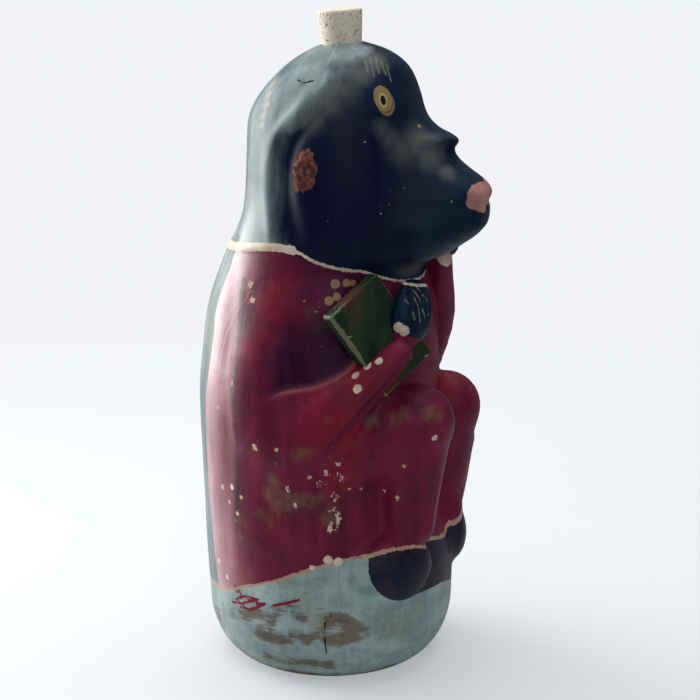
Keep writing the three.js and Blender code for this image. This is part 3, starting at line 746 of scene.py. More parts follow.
# %% [markdown]
# Each clay piece of the frame gets its own closed mesh. It is the part of the whole bottle that lies
# near its own lump, so that the fillet runs on over the joint, and neighbours overlap by a hair under
# the skin instead of showing a gap. The torso and the head are cut at the slanting collar, like the
# frame's pieces. Under a lump they are let down by a hair, so that only the lump shows. Cutting a real
# pocket for the lump would be truer to the frame, but its thin rim would show as a ragged line.

# %% Regions of the pieces
COLLAR_SLOPE = .15
SLAB = 9.0
LAP, SLAB_LAP = 1.5, .8
UNDER = .35
ROOT = 1.5


def over_collar(p):
    """Height above the slanting collar plane."""
    return p[:, 2] - COLLAR - COLLAR_SLOPE * p[:, 1]


LUMPS = {
    "right_arm": (right_arm, 4.2),
    "left_arm": (left_arm, 4.2),
    "right_hand": (right_hand, 2.2),
    "left_hand": (left_hand, 2.2),
    "right_foot": (right_foot, 5.0),
    "left_foot": (left_foot, 5.0),
    "right_ear": (right_ear, .6),
    "left_ear": (left_ear, 3.0),
}


def sunk(body, p, names):
    """The bare body, let down a hair under these lumps, so that only the lump shows."""
    for name in names:
        lump, margin = LUMPS[name]
        body = body + UNDER * step(margin, margin - 1.4, lump(p))
    return body


def torso_field(p):
    f = sunk(whole(p)[1], p, [name for name in LUMPS if not name.endswith("_ear")])
    f = np.maximum(np.maximum(f, -hollow(p)), over_collar(p) - LAP)
    return np.maximum(f, SLAB - SLAB_LAP - p[:, 2])


def head_field(p):
    f = sunk(whole(p)[1], p, ["left_arm", "left_hand", "right_hand", "right_ear", "left_ear"])
    f = np.maximum(np.maximum(f, -hollow(p)), -over_collar(p) - LAP)
    return np.maximum(f, -bore(p))


def slab_field(p):
    return np.maximum(whole(p)[0], p[:, 2] - SLAB - SLAB_LAP)


def lump_field(name):
    lump, margin = LUMPS[name]

    def field(p):
        f, body = whole(p)
        return np.maximum(np.maximum(f, lump(p) - margin), -ROOT - body)

    return field


print("lumps on the column:", sorted(LUMPS))

# %% [markdown]
# A field is turned into a mesh with surface nets: space is cut into small cubes, each cube that the
# skin runs through gets one point, and points of neighbouring cubes are joined into quads. Blender's
# Remesh modifier does the same from a mesh. First the field is asked for its value on the grid, but
# only in the blocks of cubes that lie near the skin, which saves most of the work.

# %% A field on a grid
BLOCK = 6
BLOCK_REACH, SAFE = 1.3, 2


def filled(blocks):
    """One value a block, given to all cubes of the block."""
    return blocks.repeat(BLOCK, 0).repeat(BLOCK, 1).repeat(BLOCK, 2)


def field_on_grid(field, low, pitch, blocks):
    """The field at every corner of the grid near the skin, and only its sign elsewhere."""
    axes = [low[a] + (np.arange(blocks[a]) + .5) * BLOCK * pitch for a in range(3)]
    centres = np.stack(np.meshgrid(*axes, indexing="ij"), -1).reshape(-1, 3)
    rough = field(centres).reshape(blocks)
    near = np.abs(rough) < BLOCK * pitch * BLOCK_REACH + SAFE
    shape = [n * BLOCK + 1 for n in blocks]
    wanted = np.zeros(shape, bool)
    values = np.ones(shape)
    for corner in np.ndindex(2, 2, 2):
        part = tuple(slice(c, c + n * BLOCK) for c, n in zip(corner, blocks))
        wanted[part] |= filled(near)
        values[part] = np.minimum(values[part], filled(np.sign(rough)))
    index = np.argwhere(wanted)
    values[wanted] = np.concatenate([field(low + part * pitch) for part in np.array_split(index, 8)])
    return values


print("cubes in a block:", filled(np.ones((1, 1, 1))).size)

# %% [markdown]
# Then every edge of the grid that the skin crosses gives a quad between the four cubes round it, and
# each cube's point is the mean of its crossings. Because the exact formula is at hand, each point is
# slid along the slope until it lies on the true skin, which leaves no steps in the gloss.

# %% Surface nets
SLIDES = 2
SLIDE_LIMIT = .6


def slope_and_value(field, p, reach):
    ways = np.array([(1, -1, -1), (-1, -1, 1), (-1, 1, -1), (1, 1, 1)], float)
    samples = [field(p + way * reach) for way in ways]
    slope = sum(s[:, None] * way for s, way in zip(samples, ways)) / (4 * reach)
    return slope, sum(samples) / 4


def surface_net(field, low, high, pitch):
    """Points and quads of the skin of a field inside a box."""
    low = np.array(low, float) - 2 * pitch
    blocks = np.ceil((np.array(high) + 2 * pitch - low) / (pitch * BLOCK)).astype(int)
    values = field_on_grid(field, low, pitch, blocks)
    cells = np.array(values.shape) - 1
    total = np.zeros((cells.prod(), 3))
    count = np.zeros(cells.prod())
    corners = []
    for axis in range(3):
        one = np.eye(3, dtype=int)[axis]
        a = values[tuple(slice(0, n - o) for n, o in zip(values.shape, one))]
        b = values[tuple(slice(o, None) for o in one)]
        edge = np.argwhere((a < 0) != (b < 0))
        va, vb = a[tuple(edge.T)], b[tuple(edge.T)]
        u, v = np.eye(3, dtype=int)[(axis + 1) % 3], np.eye(3, dtype=int)[(axis + 2) % 3]
        keep = np.all((edge - u - v >= 0) & (edge < cells), axis=1)
        edge, va, vb = edge[keep], va[keep], vb[keep]
        crossing = edge + one * (va / (va - vb))[:, None]
        ring = [np.ravel_multi_index((edge - way).T, cells) for way in (u + v, v, 0 * u, u)]
        for cell in ring:
            count += np.bincount(cell, minlength=len(count))
            for k in range(3):
                total[:, k] += np.bincount(cell, crossing[:, k], len(count))
        quads = np.column_stack(ring)
        quads[va > 0] = quads[va > 0][:, ::-1]
        corners.append(quads)
    used = np.flatnonzero(count)
    number = np.full(len(count), -1)
    number[used] = np.arange(len(used))
    points = low + total[used] / count[used][:, None] * pitch
    for _ in range(SLIDES):
        slope, value = slope_and_value(field, points, pitch * .3)
        push = value / np.maximum((slope ** 2).sum(1), .05)
        move = -slope * push[:, None]
        size = np.linalg.norm(move, axis=1, keepdims=True)
        points = points + move * np.minimum(1, SLIDE_LIMIT * pitch / np.maximum(size, 1e-9))
    return points, number[np.vstack(corners)]


print("each point slides", SLIDES, "times, by at most", SLIDE_LIMIT, "of a cube")

# %% [markdown]
# The pieces are built one after another. The big ones have cubes of about a millimetre, and the small
# ones finer cubes, because a finger groove is thin. One factor, COARSE, makes all cubes larger at once;
# here it is 1.

# %% Build the pieces
COARSE = 1.0
PIECES = {
    "torso_pot": (1.45, "robe_paint", torso_field),
    "head_pot": (1.0, "skin_paint", head_field),
    "floor_slab": (1.3, "base_paint", slab_field),
    "right_arm": (.9, "robe_paint", lump_field("right_arm")),
    "left_arm": (.9, "robe_paint", lump_field("left_arm")),
    "cork_stopper": (.42, "cork", cork_field),
    "right_hand": (.5, "skin_paint", lump_field("right_hand")),
    "left_hand": (.5, "skin_paint", lump_field("left_hand")),
    "book": (.6, "book_paint", book),
    "right_foot": (.8, "foot_paint", lump_field("right_foot")),
    "left_foot": (.8, "foot_paint", lump_field("left_foot")),
    "right_ear": (.4, "bare_clay", lump_field("right_ear")),
    "left_ear": (.7, "skin_paint", lump_field("left_ear")),
}


def build_piece(node, pitch, slot, field):
    """The mesh object that stands for a node of the frame."""
    low, high = (np.array(corner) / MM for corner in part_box(node))
    points, quads = surface_net(field, low - 5, high + 5, pitch * COARSE)
    mesh = bpy.data.meshes.new("shown_" + node)
    mesh.from_pydata((points * MM).tolist(), [], quads.tolist())
    mesh.update()
    mesh.shade_smooth()
    piece = bpy.data.objects.new("shown_" + node, mesh)
    bpy.context.scene.collection.objects.link(piece)
    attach(piece, "stopper" if node == "cork_stopper" else "vessel")
    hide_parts(node)
    print(node, len(points), "points")
    return piece


pieces = {node: build_piece(node, *how) for node, how in PIECES.items()}

# %% [markdown]
# The paint is laid in coats: turquoise on the plinth, maroon on the robe, blue-black on the skin. The
# edge of each coat is a line on the skin, kept as a distance in millimetres at every point of the mesh,
# positive inside the coat. The shader turns it into a crisp or ragged edge. An image could hold the
# coats as well, but it would need unwrapping, and these distances run on over the joints of the pieces.

# %% Edges of the coats
HEM = [(-180, 38), (-144, 41.7), (-129, 44.7), (-115, 51.2), (-100, 57.9), (-86, 65.3), (-73, 70.7),
    (-62, 73), (-50, 76.9), (-43, 77.3), (-35, 76.2), (-28, 73.5), (-14, 70.7), (7, 66.2), (20, 70),
    (30, 72.5), (40, 72), (55, 70), (70, 68), (90, 62), (115, 50), (145, 41), (180, 38)]
SHOES = [(-57, 74), (-57.3, 68), (-56.3, 63), (-54.5, 58.5), (-51.7, 54.3), (-47.7, 50.9),
    (-42.3, 48.4), (-34.5, 47.6), (-26.5, 47.1), (-17.8, 46.8), (-10, 46.3), (0, 43), (8, 40),
    (18, 36.5), (30, 35.5), (42, 38), (50, 43), (54, 50), (56, 58), (56, 70), (56, 90), (-57, 90)]
BACK_EDGE = [(40, 134), (53, 137.5), (75, 140), (96, 143), (118, 143.5), (146, 142.5), (162, 141),
    (181, 140), (191, 142), (204, 143.5), (219, 143.5), (226, 141)]
HOOD_PAINT = [(222, 98), (245, 101), (255, 101.5), (279, 103), (286, 101), (289, 94), (295, 85),
    (303, 74), (311, 65), (318, 53), (323, 37), (327, 8)]
MOUTH = [(-18.8, 254.3), (-17.5, 258), (-13, 260.6), (-7, 261.2), (2, 260.6), (2, 249.2), (-2.5, 249.2),
    (-5.8, 245.8), (-11.2, 247), (-16.9, 249.5)]
SHOE_DEGREE = 1.08
BACK_TOP = 232
MOUTH_BACK, SHUT_OUT = -60, 40
HAND_COVER, RIGHT_WRIST, LEFT_WRIST = 1.2, -10.5, -11
NOWHERE = -30


def inside_outline(u, v, outline_points):
    """Signed distance from a closed outline on the unrolled skin, positive inside it."""
    points = np.array(outline_points, float)
    best = np.full(len(u), 99.0)
    inside = np.zeros(len(u), bool)
    for (au, av), (bu, bv) in zip(points, np.roll(points, -1, 0)):
        length = (bu - au) ** 2 + (bv - av) ** 2
        t = np.clip(((u - au) * (bu - au) + (v - av) * (bv - av)) / length, 0, 1)
        best = np.minimum(best, np.hypot(u - au - t * (bu - au), v - av - t * (bv - av)))
        crosses = (av > v) != (bv > v)
        inside ^= crosses & (u < au + (v - av) / (bv - av if bv != av else 1) * (bu - au))
    return np.where(inside, best, -best)


def hand_zone(p, hand, palm, wrist):
    middle, along, across, out = hand_frame(*palm)
    return np.minimum(HAND_COVER - hand(p), (p - middle) @ along - wrist)


def on_an_arm(p):
    return np.minimum(right_arm(p), left_arm(p)) < 1


def coat_edges(p):
    """How far the points lie inside each coat of paint, in millimetres."""
    x, y, z = p.T
    turn = turn_of(p)
    collar = np.where(on_an_arm(p), NOWHERE, z - follow(COLLAR_LINE, turn))
    right = hand_zone(p, right_hand, right_palm, RIGHT_WRIST)
    left = hand_zone(p, left_hand, left_palm, LEFT_WRIST)
    hem = z - follow(HEM, turn)
    back = (np.abs(turn) - follow(BACK_EDGE, z)) * BACK_DEGREE
    shoes = [(shoe_turn * SHOE_DEGREE, height) for shoe_turn, height in SHOES]
    return {
        "robe": np.minimum(np.minimum(hem, -collar), -back),
        "hem": hem,
        "back": np.minimum(back, BACK_TOP - z),
        "skin": np.maximum(collar, np.maximum(right, left)),
        "hood": (np.abs(turn) - follow(HOOD_PAINT, z)) * HEAD_DEGREE,
        "mouth": inside_outline(-np.abs(x), z, MOUTH) - SHUT_OUT * (y > MOUTH_BACK),
        "shoe": inside_outline(turn * SHOE_DEGREE, z, shoes),
    }


print("the hem runs between", min(h for t, h in HEM), "and", max(h for t, h in HEM), "mm up")

# %% [markdown]
# Over the coats come marks with the tip of a brush: cream dots and cuffs, ochre dots, the brows, thin
# lines on the fingers and a scrawl on the plinth. A dot is a place and a radius in millimetres, and a
# line is a path. They could be drawn with texture paint, but then each would live in an image.

# %% Marks of the brush
CREAM_DOTS = [(-57.8, -42.9, 179.2, 2.3), (-58.8, -37, 176.9, 2.6), (-62, -31.8, 172.2, 2.3),
    (-65.4, -34.4, 165.7, 2.4), (-53.6, 42.5, 102.9, 1.7), (-58.7, 35, 105.4, 1.6),
    (-57, 37.4, 96.3, 1.3), (-62, 28.3, 101.7, 1.2), (-60.5, 31.2, 92.2, 1.4),
    (-64.2, -18.7, 73.4, 2.4), (-62.3, -23.4, 72.1, 2.4), (-66.4, -10.8, 69, 1.4),
    (-48.2, 47.1, 59.2, 1.8), (-53.2, 40.8, 52.8, 1.6), (-47.5, -69.8, 138.2, 1.7)]
OCHRE_DOTS = [(-48.5, -17.8, 213.9, 2.4), (-45.8, -22.8, 214.2, 2), (-44.2, -26.2, 214, 2),
    (-50.2, -19.4, 207.8, 2.2), (-52.4, -15.9, 206, 2.4), (-62.7, -5.5, 181.6, 1.6),
    (-63.4, -8.9, 175.9, 2.5), (-65.1, -4.7, 170.3, 2.3), (-68.3, 3.7, 167.4, 1.7)]
CUFFS = [(-45.9, -50, 193, 2.9), (-44.6, -52.6, 191.2, 2.9), (12.6, -60, 218.5, 5.5),
    (17, -56, 217, 4.5)]
STROKES = [
    [(-16.7, -26.3, 322.7), (-21.2, -28.5, 319.5), (-24.8, -30.7, 314.8)],
    [(-13.9, -28.6, 323), (-18.3, -30.4, 320.5), (-21.7, -32.4, 316)],
    [(-14, -31.2, 321.6), (-17.3, -33.2, 318.9), (-19.6, -35.4, 314.9)],
    [(-14.4, -34.4, 319.3), (-17.4, -36, 316.2), (-19.3, -37.9, 312)],
    [(-19.5, -24.5, 321.9), (-25, -27.7, 316.7)]]
FINGERS = [
    [(-36.5, -54.8, 210.7), (-35.7, -58.2, 205.7), (-35, -60.2, 198), (-34.8, -59.7, 190.1),
     (-35, -57.2, 185)],
    [(-33.9, -56.1, 211.8), (-30.9, -60, 204.7), (-30, -61, 198), (-30.5, -60, 190)],
    [(-41.4, -52, 206.5), (-40.9, -55.5, 202.6), (-41, -57.1, 196.6)],
    [(-38.5, -55, 209), (-38, -58, 203), (-38, -59, 195)]]
FLECKS = [(-12.2, -50.6, 289.3, 1.1), (-23.8, -71, 253.8, .9), (-20.3, -75.8, 251.9, .8)]
SQUIGGLES = [
    [(-56.8, 35, 50), (-57.6, 33.4, 46.6)],
    [(-58.2, 32.4, 50), (-58.9, 30.9, 44.4)],
    [(-54.5, 37.7, 39.6), (-58.5, 31.6, 41), (-63.6, 19.7, 46.6), (-60.2, 28.6, 46.2),
     (-56.6, 35.2, 42.2)],
    [(-58.1, 31.9, 38.9), (-61.6, 24.4, 39.6), (-64.7, 15.5, 45.3), (-63, 21, 44)],
    [(-65.6, 11.4, 45), (-66.4, 6, 47), (-66.7, -4.3, 50.8)]]
BROW_HALF, FINGER_LINE_HALF, SQUIGGLE_HALF = .62, .42, .85
# The collar's line is broad behind this turn, and before it thins out over so many degrees.
BROAD_TURN, THINNING_TURN = 92, 60
BROAD_HALF, THIN_HALF, THINNING = 2.1, .95, .25


def spots(p, places):
    """Signed distance from the nearest of some round marks, positive inside one."""
    best = np.full(len(p), -99.0)
    for x, y, z, radius in places:
        best = np.maximum(best, radius - np.linalg.norm(p - (x, y, z), axis=1))
    return best


def lines(p, paths, half):
    """Signed distance from the nearest of some thin lines, positive inside one."""
    return np.max([half - to_path(p, path) for path in paths], axis=0)


def brush_edges(p):
    """How far the points lie inside each mark of the brush, in millimetres."""
    turn = turn_of(p)
    from_collar = np.abs(p[:, 2] - follow(COLLAR_LINE, turn))
    ahead = BROAD_TURN - np.abs(turn)
    line = np.where(ahead < 0, BROAD_HALF, THIN_HALF - THINNING * step(0, THINNING_TURN, ahead))
    collar_line = np.where(on_an_arm(p), NOWHERE, line - from_collar)
    return {
        "cream": np.maximum(spots(p, CREAM_DOTS + CUFFS), collar_line),
        "ochre": spots(p, OCHRE_DOTS + FLECKS),
        "brows": lines(mirrored(p), STROKES, BROW_HALF),
        "fingers": lines(p, FINGERS, FINGER_LINE_HALF),
        "squiggle": lines(p, SQUIGGLES, SQUIGGLE_HALF),
    }


print("dots of paint:", len(CREAM_DOTS), "cream and", len(OCHRE_DOTS), "ochre")

# %% [markdown]
# Last comes what use has done: chips down to the clay, cracks, patches that are rubbed thin. With it come
# painted light and shade: painted shade in the hollows where shade falls, painted sheen on the shoulder and
# the cheek, and a painted highlight along the forearm's edge. Sharp damage is again a distance. Soft wear
# and painted light are a patch or a band with a reach of its own, from 0 to about 1, and the shader breaks
# them up with noise. Noise alone would put wear everywhere.

# %% Wear, and painted light and shade
CHIPS = [(-46.3, 28, 210.4, 1.7), (-51.3, 25.2, 202.9, 1.5), (-69, -11.4, 117.8, 1.4),
    (-66.6, -18.9, 120.5, 1.2), (-65, -24.4, 125.7, 1), (-63, -25.7, 118.3, 1),
    (-69.8, 1.1, 111.5, 1.3), (-70.8, 17.6, 131.9, 1.7), (-73.6, 5.4, 132.8, .9),
    (-71.8, 7.2, 125.8, .8), (-63.6, 32.1, 162.7, .8), (-48.2, 47.2, 163.7, 1), (-52.6, 44.2, 145.3, 1),
    (-68.7, -3.3, 103, .8), (-59.4, -28.9, 111.6, .9), (-62, -27.1, 116.5, .8),
    (-48.4, -50.5, 105.3, 1.2), (-50.7, -54.2, 122.9, .9), (-43.9, -42.7, 106.2, .9),
    (-54.9, -33.4, 109.7, 1), (-35.3, 58.9, 172.8, 1.1), (-38.4, 58.1, 165, 1), (-38.6, 58.5, 154, .9),
    (-42.5, 55.6, 148, 1.1)]
SCRAWLS = [
    [(-63.1, -19.5, 99), (-62.1, -21.3, 99.4), (-60.8, -23, 97.5), (-61.4, -22.1, 94.4),
     (-62.8, -19.9, 91.4), (-63.8, -18.1, 89.4), (-62.9, -19.9, 88.8), (-61.3, -22.6, 90.6),
     (-60.5, -23.4, 94.8)],
    [(-64.2, -19.9, 107.5), (-63.7, -21.3, 109), (-62.3, -23, 107.1), (-62.8, -21.5, 105)],
    [(-67.6, -14.6, 113.9), (-67.2, -16.1, 116), (-66.5, -17.4, 114.9)],
    [(-64.5, -22.6, 118.4), (-63.9, -24, 119.5), (-63.3, -24.9, 117.8)],
    [(-52.5, -38, 108.5), (-50.5, -40.5, 106), (-49.5, -43, 108.5)],
    [(-66, -22.3, 41), (-63, -26, 38)]]
CRACKS = [
    [(-31.8, 6.5, 312.4), (-33.5, 3.6, 310.9), (-34.3, 2, 311.3), (-34.3, -2.2, 312.4)],
    [(-64, -16.9, 39.1), (-64, -16.3, 33.4), (-63.5, -16.7, 27.7), (-61.9, -16.7, 20.3)],
    [(-63.4, -20, 44.7), (-63.1, -20.4, 40.2), (-62.8, -20.8, 36.8)]]
PEACH = [(-35.1, 24.5, 289.7, 3), (-33.4, 24.6, 294.5, 3.2), (-31, 23.8, 299.3, 4),
    (-26.8, 23.8, 304, 4), (-22.7, 23.4, 308.4, 3)]
# Rubbed wear and painted sheen on the cheek, the brow and the crown.
RUBBED_AND_SHEEN = [(-24, -44, 278.6, 11), (-18, -51, 282, 11), (-16, -57.4, 276, 10), (-28, -40, 284, 9),
    (-39, -12.5, 306.4, 9), (-31, -18, 315.5, 9), (-44.5, -5, 294, 9), (-41, -13, 302, 9),
    (-35, -19, 309, 10), (-28, -24, 315, 9), (-17.4, -27.5, 321.8, 9), (-14.7, -64.9, 267, 6),
    (-30, -36, 288, 7)]
ROBE_WEAR = [(-67.9, 8.2, 104.2, 9), (-66, 16.1, 91.9, 8), (-68.1, 2.9, 99.5, 8),
    (-64.5, 20.6, 77.2, 6), (-65.9, 16.3, 83.7, 7), (-60.7, 30.3, 80, 5), (-60.4, 31.3, 88.3, 5),
    (-68.2, -10.5, 106.2, 6), (-63, -19.4, 96, 6), (-57.8, -15.5, 192.4, 7), (-56.4, -7.2, 201.7, 6),
    (-61.1, -12.8, 182.8, 6), (-55.2, -38.1, 147, 6), (-47.2, -67, 151, 8), (-52, -55, 149, 7),
    (-43, -70, 140, 6), (-70, -7.3, 131.5, 7), (-69, 7.7, 115.3, 7), (-68, -20, 150, 5)]
BASE_WEAR = [
    [(-53.9, 38, 33.6), (-59.5, 28.7, 34.2), (-63, 20.6, 40.1), (-65, 12.8, 38.5), (-65.8, 9.2, 42.1),
     (-66.6, 1.7, 46.1), (-66.3, -3, 41.6)],
    [(-62.3, 21, 29), (-63.4, 16.3, 26.2), (-65, 7.4, 26.3), (-65.9, -1.2, 30.6), (-65.2, -8, 28.4),
     (-64.6, -13.3, 33.3), (-63.6, -18.4, 39.1), (-61.7, -24.2, 40.1), (-58.9, -29.9, 36.4),
     (-55.1, -36.3, 33.4)],
    [(-63.6, -16.7, 28.9), (-61.2, -24.1, 28.8), (-58, -31.2, 30.6)],
    [(-60, 15.9, 14.5), (-60.9, 6.2, 12.8), (-61.3, -5, 13.4), (-58.9, -17.9, 13.5)],
    [(-40, 50, 24), (-20, 61, 30), (6, 64, 26), (30, 57, 31)],
    [(64, 8, 30), (60, 30, 24)],
    [(50, -36, 20), (34, -52, 24)]]
# Painted sheen on the shoulder, where the window light grazes it.
SHOULDER_SHEEN = [(-38, 35, 219, 12), (-42, 33, 209, 11), (-46, 33, 199, 8), (-35, 40, 214, 13)]
# Painted shade on the side of the face before the ear.
TEMPLE, TEMPLE_HALVES = (-46, -22, 258), (30, 34, 34)
SCRAWL_HALF, CRACK_HALF, BASE_WEAR_HALF = .7, .55, 5.5
# Painted shade: the hollow over the forearm and the groove under it.
RECESS_SHADE_EDGE, RECESS_SHADE_FADE, RECESS_SHADE_SIDE, RECESS_SHADE_DROP = (-.5, 1.5), (14, 52), (-6, 12), .75
UNDER_ARM, UNDER_ARM_WIDTH, UNDER_ARM_FADE = .8, 2.4, (118, 160)
SEAM_HALF, SEAM_THINNING, SEAM_FADE = 2.6, 4, (105, 60)
RIM_WIDTH = .9
# A band of brown clay colour along the bottom edge, so the plinth is darker towards the bottom.
BOTTOM_BAND, BOTTOM_BAND_AT, BOTTOM_BAND_WIDTH = .75, 3, 4
# The lip is a painted highlight along the forearm's upper edge.
LIP_BELOW, LIP_WIDTH, LIP_BACK_FADE, LIP_FRONT_FADE = .5, 1.1, (2, 14), (-42, -50)


def blots(p, places):
    """How deep a point lies in soft round patches, from 0 to about 1."""
    return np.max([hill(np.linalg.norm(p - (x, y, z), axis=1), reach) for x, y, z, reach in places], axis=0)


def book_sides(p):
    """How far points lie beyond the book's ends, sides and front, in millimetres."""
    middle, along, across, out = book_frame()
    d = p - middle
    long, wide, thick = BOOK_HALVES
    return np.column_stack([np.abs(d @ along) - long, np.abs(d @ across) - wide, d @ out - thick])


def wear_and_painted_light(p):
    """Sharp damage as signed distances, and soft wear, painted shade and painted highlights from 0 to about
    1.
    """
    x, y, z = p.T
    turn, right = turn_of(p), mirrored(p)
    above, beside = above_forearm(p, turn)
    # Painted shade in the hollow over the forearm, under the forearm and before the ear, where shade falls.
    recess = step(*RECESS_SHADE_EDGE, above) * (1 - RECESS_SHADE_DROP * step(*RECESS_SHADE_FADE, above))
    recess = recess * step(*RECESS_SHADE_SIDE, beside) * (x < 0)
    under_arm = hill(to_path(p, FOREARM_BELOW), UNDER_ARM_WIDTH) * UNDER_ARM * step(*UNDER_ARM_FADE, z)
    temple = hill(np.linalg.norm((right - TEMPLE) / TEMPLE_HALVES, axis=1), 1)
    base = hill(np.min([to_path(p, path) for path in BASE_WEAR], axis=0), BASE_WEAR_HALF)
    lip = hill(above + LIP_BELOW, LIP_WIDTH) * step(*LIP_BACK_FADE, turn - CHEST_TURNS[0])
    return {
        "chips": np.maximum(spots(p, CHIPS), lines(p, SCRAWLS, SCRAWL_HALF)),
        "crack": lines(p, CRACKS, CRACK_HALF),
        "seam": SEAM_HALF - to_path(right, ARM_BACK) - SEAM_THINNING * step(*SEAM_FADE, z),
        "rim": np.sort(book_sides(p), axis=1)[:, 1] + RIM_WIDTH,
        "peach": blots(p, PEACH),
        "worn": blots(p, ROBE_WEAR),
        # Painted sheen on the shoulder.
        "pale": blots(right, SHOULDER_SHEEN),
        # Rubbed wear and painted sheen on the cheek and brow.
        "rubbed": blots(right, RUBBED_AND_SHEEN),
        # Worn bands of the plinth, and a darker band along the bottom edge.
        "bare": np.maximum(base, hill(z - BOTTOM_BAND_AT, BOTTOM_BAND_WIDTH) * BOTTOM_BAND),
        # Painted shade, where shade falls in the hollows.
        "grime": np.clip(recess + under_arm + temple, 0, 1),
        # Painted highlight along the forearm's upper edge.
        "lip": lip * step(*LIP_FRONT_FADE, turn) * (x < 0),
    }


print("chips:", len(CHIPS), "worn patches on the robe:", len(ROBE_WEAR))

# %% [markdown]
# All of these are kept as attributes of the points. A vertex group could hold them only from 0 to 1, a
# plain number attribute holds millimetres as they are.

# %% Keep the coats on the meshes
def keep_coats(piece):
    mesh = piece.data
    p = np.empty(len(mesh.vertices) * 3)
    mesh.vertices.foreach_get("co", p)
    p = p.reshape(-1, 3) / MM
    for name, values in {**coat_edges(p), **brush_edges(p), **wear_and_painted_light(p)}.items():
        attribute = mesh.attributes.new(name, "FLOAT", "POINT")
        attribute.data.foreach_set("value", np.ascontiguousarray(values, np.float32))


for node, piece in pieces.items():
    if node != "cork_stopper":
        keep_coats(piece)
print("coats kept on", len(pieces) - 1, "pieces")

# %% [markdown]
# Shaders are written as arithmetic. A small class wraps an output of a node, so that adding or
# multiplying two of them adds the Math node that does it. Every other node comes from one method.
# Dragging nodes by hand gives the same tree, but a line of arithmetic is easier to read and to change.

# %% Shader maths
class Value:
    """What comes out of a node."""

    def __init__(self, nodes, socket):
        self.nodes = nodes
        self.socket = socket

    def math(self, operation, *numbers):
        return self.nodes.node("ShaderNodeMath", {"operation": operation}, dict(enumerate(numbers)))

    def __add__(self, other):
        return self.math("ADD", self, other)

    def __radd__(self, other):
        return self.math("ADD", other, self)

    def __sub__(self, other):
        return self.math("SUBTRACT", self, other)

    def __rsub__(self, other):
        return self.math("SUBTRACT", other, self)

    def __mul__(self, other):
        return self.math("MULTIPLY", self, other)

    def __rmul__(self, other):
        return self.math("MULTIPLY", other, self)

    def __truediv__(self, other):
        return self.math("DIVIDE", self, other)

    def __pow__(self, other):
        return self.math("POWER", self, other)

    def __abs__(self):
        return self.math("ABSOLUTE", self)

    def clamped(self):
        return self.nodes.node("ShaderNodeClamp", {}, {0: self, 1: 0.0, 2: 1.0})

    def over(self, start, gain):
        """How far the value is past a start, times a gain, held between 0 and 1."""
        return ((self - start) * gain).clamped()

    def sway(self, height):
        """A noise brought down around 0, with its whole height."""
        return (self - .5) * height


class Nodes:
    """A node tree whose nodes are added by name."""

    def __init__(self, tree):
        self.tree = tree
        self.tree.nodes.clear()

    def node(self, kind, settings, sockets, output=0):
        """Adds a node: its settings first, then the values or links of its sockets."""
        made = self.tree.nodes.new(kind)
        for key, value in settings.items():
            setattr(made, key, value)
        for key, value in sockets.items():
            if isinstance(value, Value):
                self.tree.links.new(value.socket, made.inputs[key])
            else:
                made.inputs[key].default_value = value
        return None if output is None else Value(self, made.outputs[output])


print("besides arithmetic a value can be", [name for name in vars(Value) if not name.startswith("_")])

# %% [markdown]
# A finish is a material that ends in one Principled shader. Its noises are measured in lumps a metre
# on the object itself, so that they stay the same on every piece, and a small stretch along an axis
# draws the lumps out into strokes. Colours are given as the eye sees them on a screen, because that is
# how they are compared with a photograph, and then turned into the linear values that the shader wants.

# %% A finish
class Finish(Nodes):
    """A material on the object's own place."""

    def __init__(self, name):
        self.material = bpy.data.materials.new(name)
        self.material.use_nodes = True
        super().__init__(self.material.node_tree)
        self.place = self.node("ShaderNodeTexCoord", {}, {}, "Object")

    def attribute(self, name):
        return self.node("ShaderNodeAttribute", {"attribute_name": name}, {}, "Fac")

    def noise(self, scale, detail=3.0, stretch=(1.0, 1.0, 1.0), rough=.55):
        """Noise around 0.5, with scale in lumps a metre, stretched along an axis by a small factor."""
        spread = self.node("ShaderNodeVectorMath", {"operation": "MULTIPLY"}, {0: self.place, 1: stretch})
        sockets = {"Vector": spread, "Scale": scale, "Detail": detail, "Roughness": rough}
        return self.node("ShaderNodeTexNoise", {}, sockets, 0)

    def edge(self, distance, softness=.3):
        """Turns a signed distance in millimetres into a mask."""
        return (distance / softness + .5).clamped()

    def along(self, offset, direction, half):
        """Distance along a direction from a point, in half widths of a mark."""
        scaled = tuple(d / half for d in direction)
        return self.node("ShaderNodeVectorMath", {"operation": "DOT_PRODUCT"}, {0: offset, 1: scaled}, 1)

    def mix(self, mask, under, over):
        return self.node("ShaderNodeMix", {"data_type": "RGBA"}, {0: mask, 6: under, 7: over}, 2)

    def surface(self, colour, roughness, height, strength=.3, distance=.0006, **fixed):
        """Ends the material with a Principled shader."""
        relief = {"Height": height, "Strength": strength, "Distance": distance}
        normal = self.node("ShaderNodeBump", {}, relief)
        sockets = {"Base Color": colour, "Roughness": roughness, "Normal": normal, **fixed}
        shader = self.node("ShaderNodeBsdfPrincipled", {}, sockets)
        self.node("ShaderNodeOutputMaterial", {}, {"Surface": shader}, None)
        return self.material


def rgb(red, green, blue):
    """A colour as the eye sees it on a screen, 0 to 255, turned into the shader's linear values."""
    linear = [((c / 255 + .055) / 1.055) ** 2.4 if c > 10 else c / 255 / 12.92 for c in (red, green, blue)]
    return (*linear, 1.0)


def shown(*colours):
    """Colours as short rows of numbers, for printing."""
    return [tuple(round(c, 3) for c in colour[:3]) for colour in colours]


print("a middle grey on the screen is", round(rgb(128, 128, 128)[0], 3), "to the shader")

# %% [markdown]
# The painted clay is one material in coats, like the real thing: bare brown clay, turquoise on the
# plinth, maroon on the robe, blue-black skin with a pale hood, then the cream and ochre marks, the lips
# and the eyes, and last the chips that take them off again. Each coat's edge wobbles with noise, as a
# brush's edge does, and long thin noise gives the brush strokes. The alternative is one material a
# piece, but then the hem and the collar, which run across pieces, would have to match at every joint.

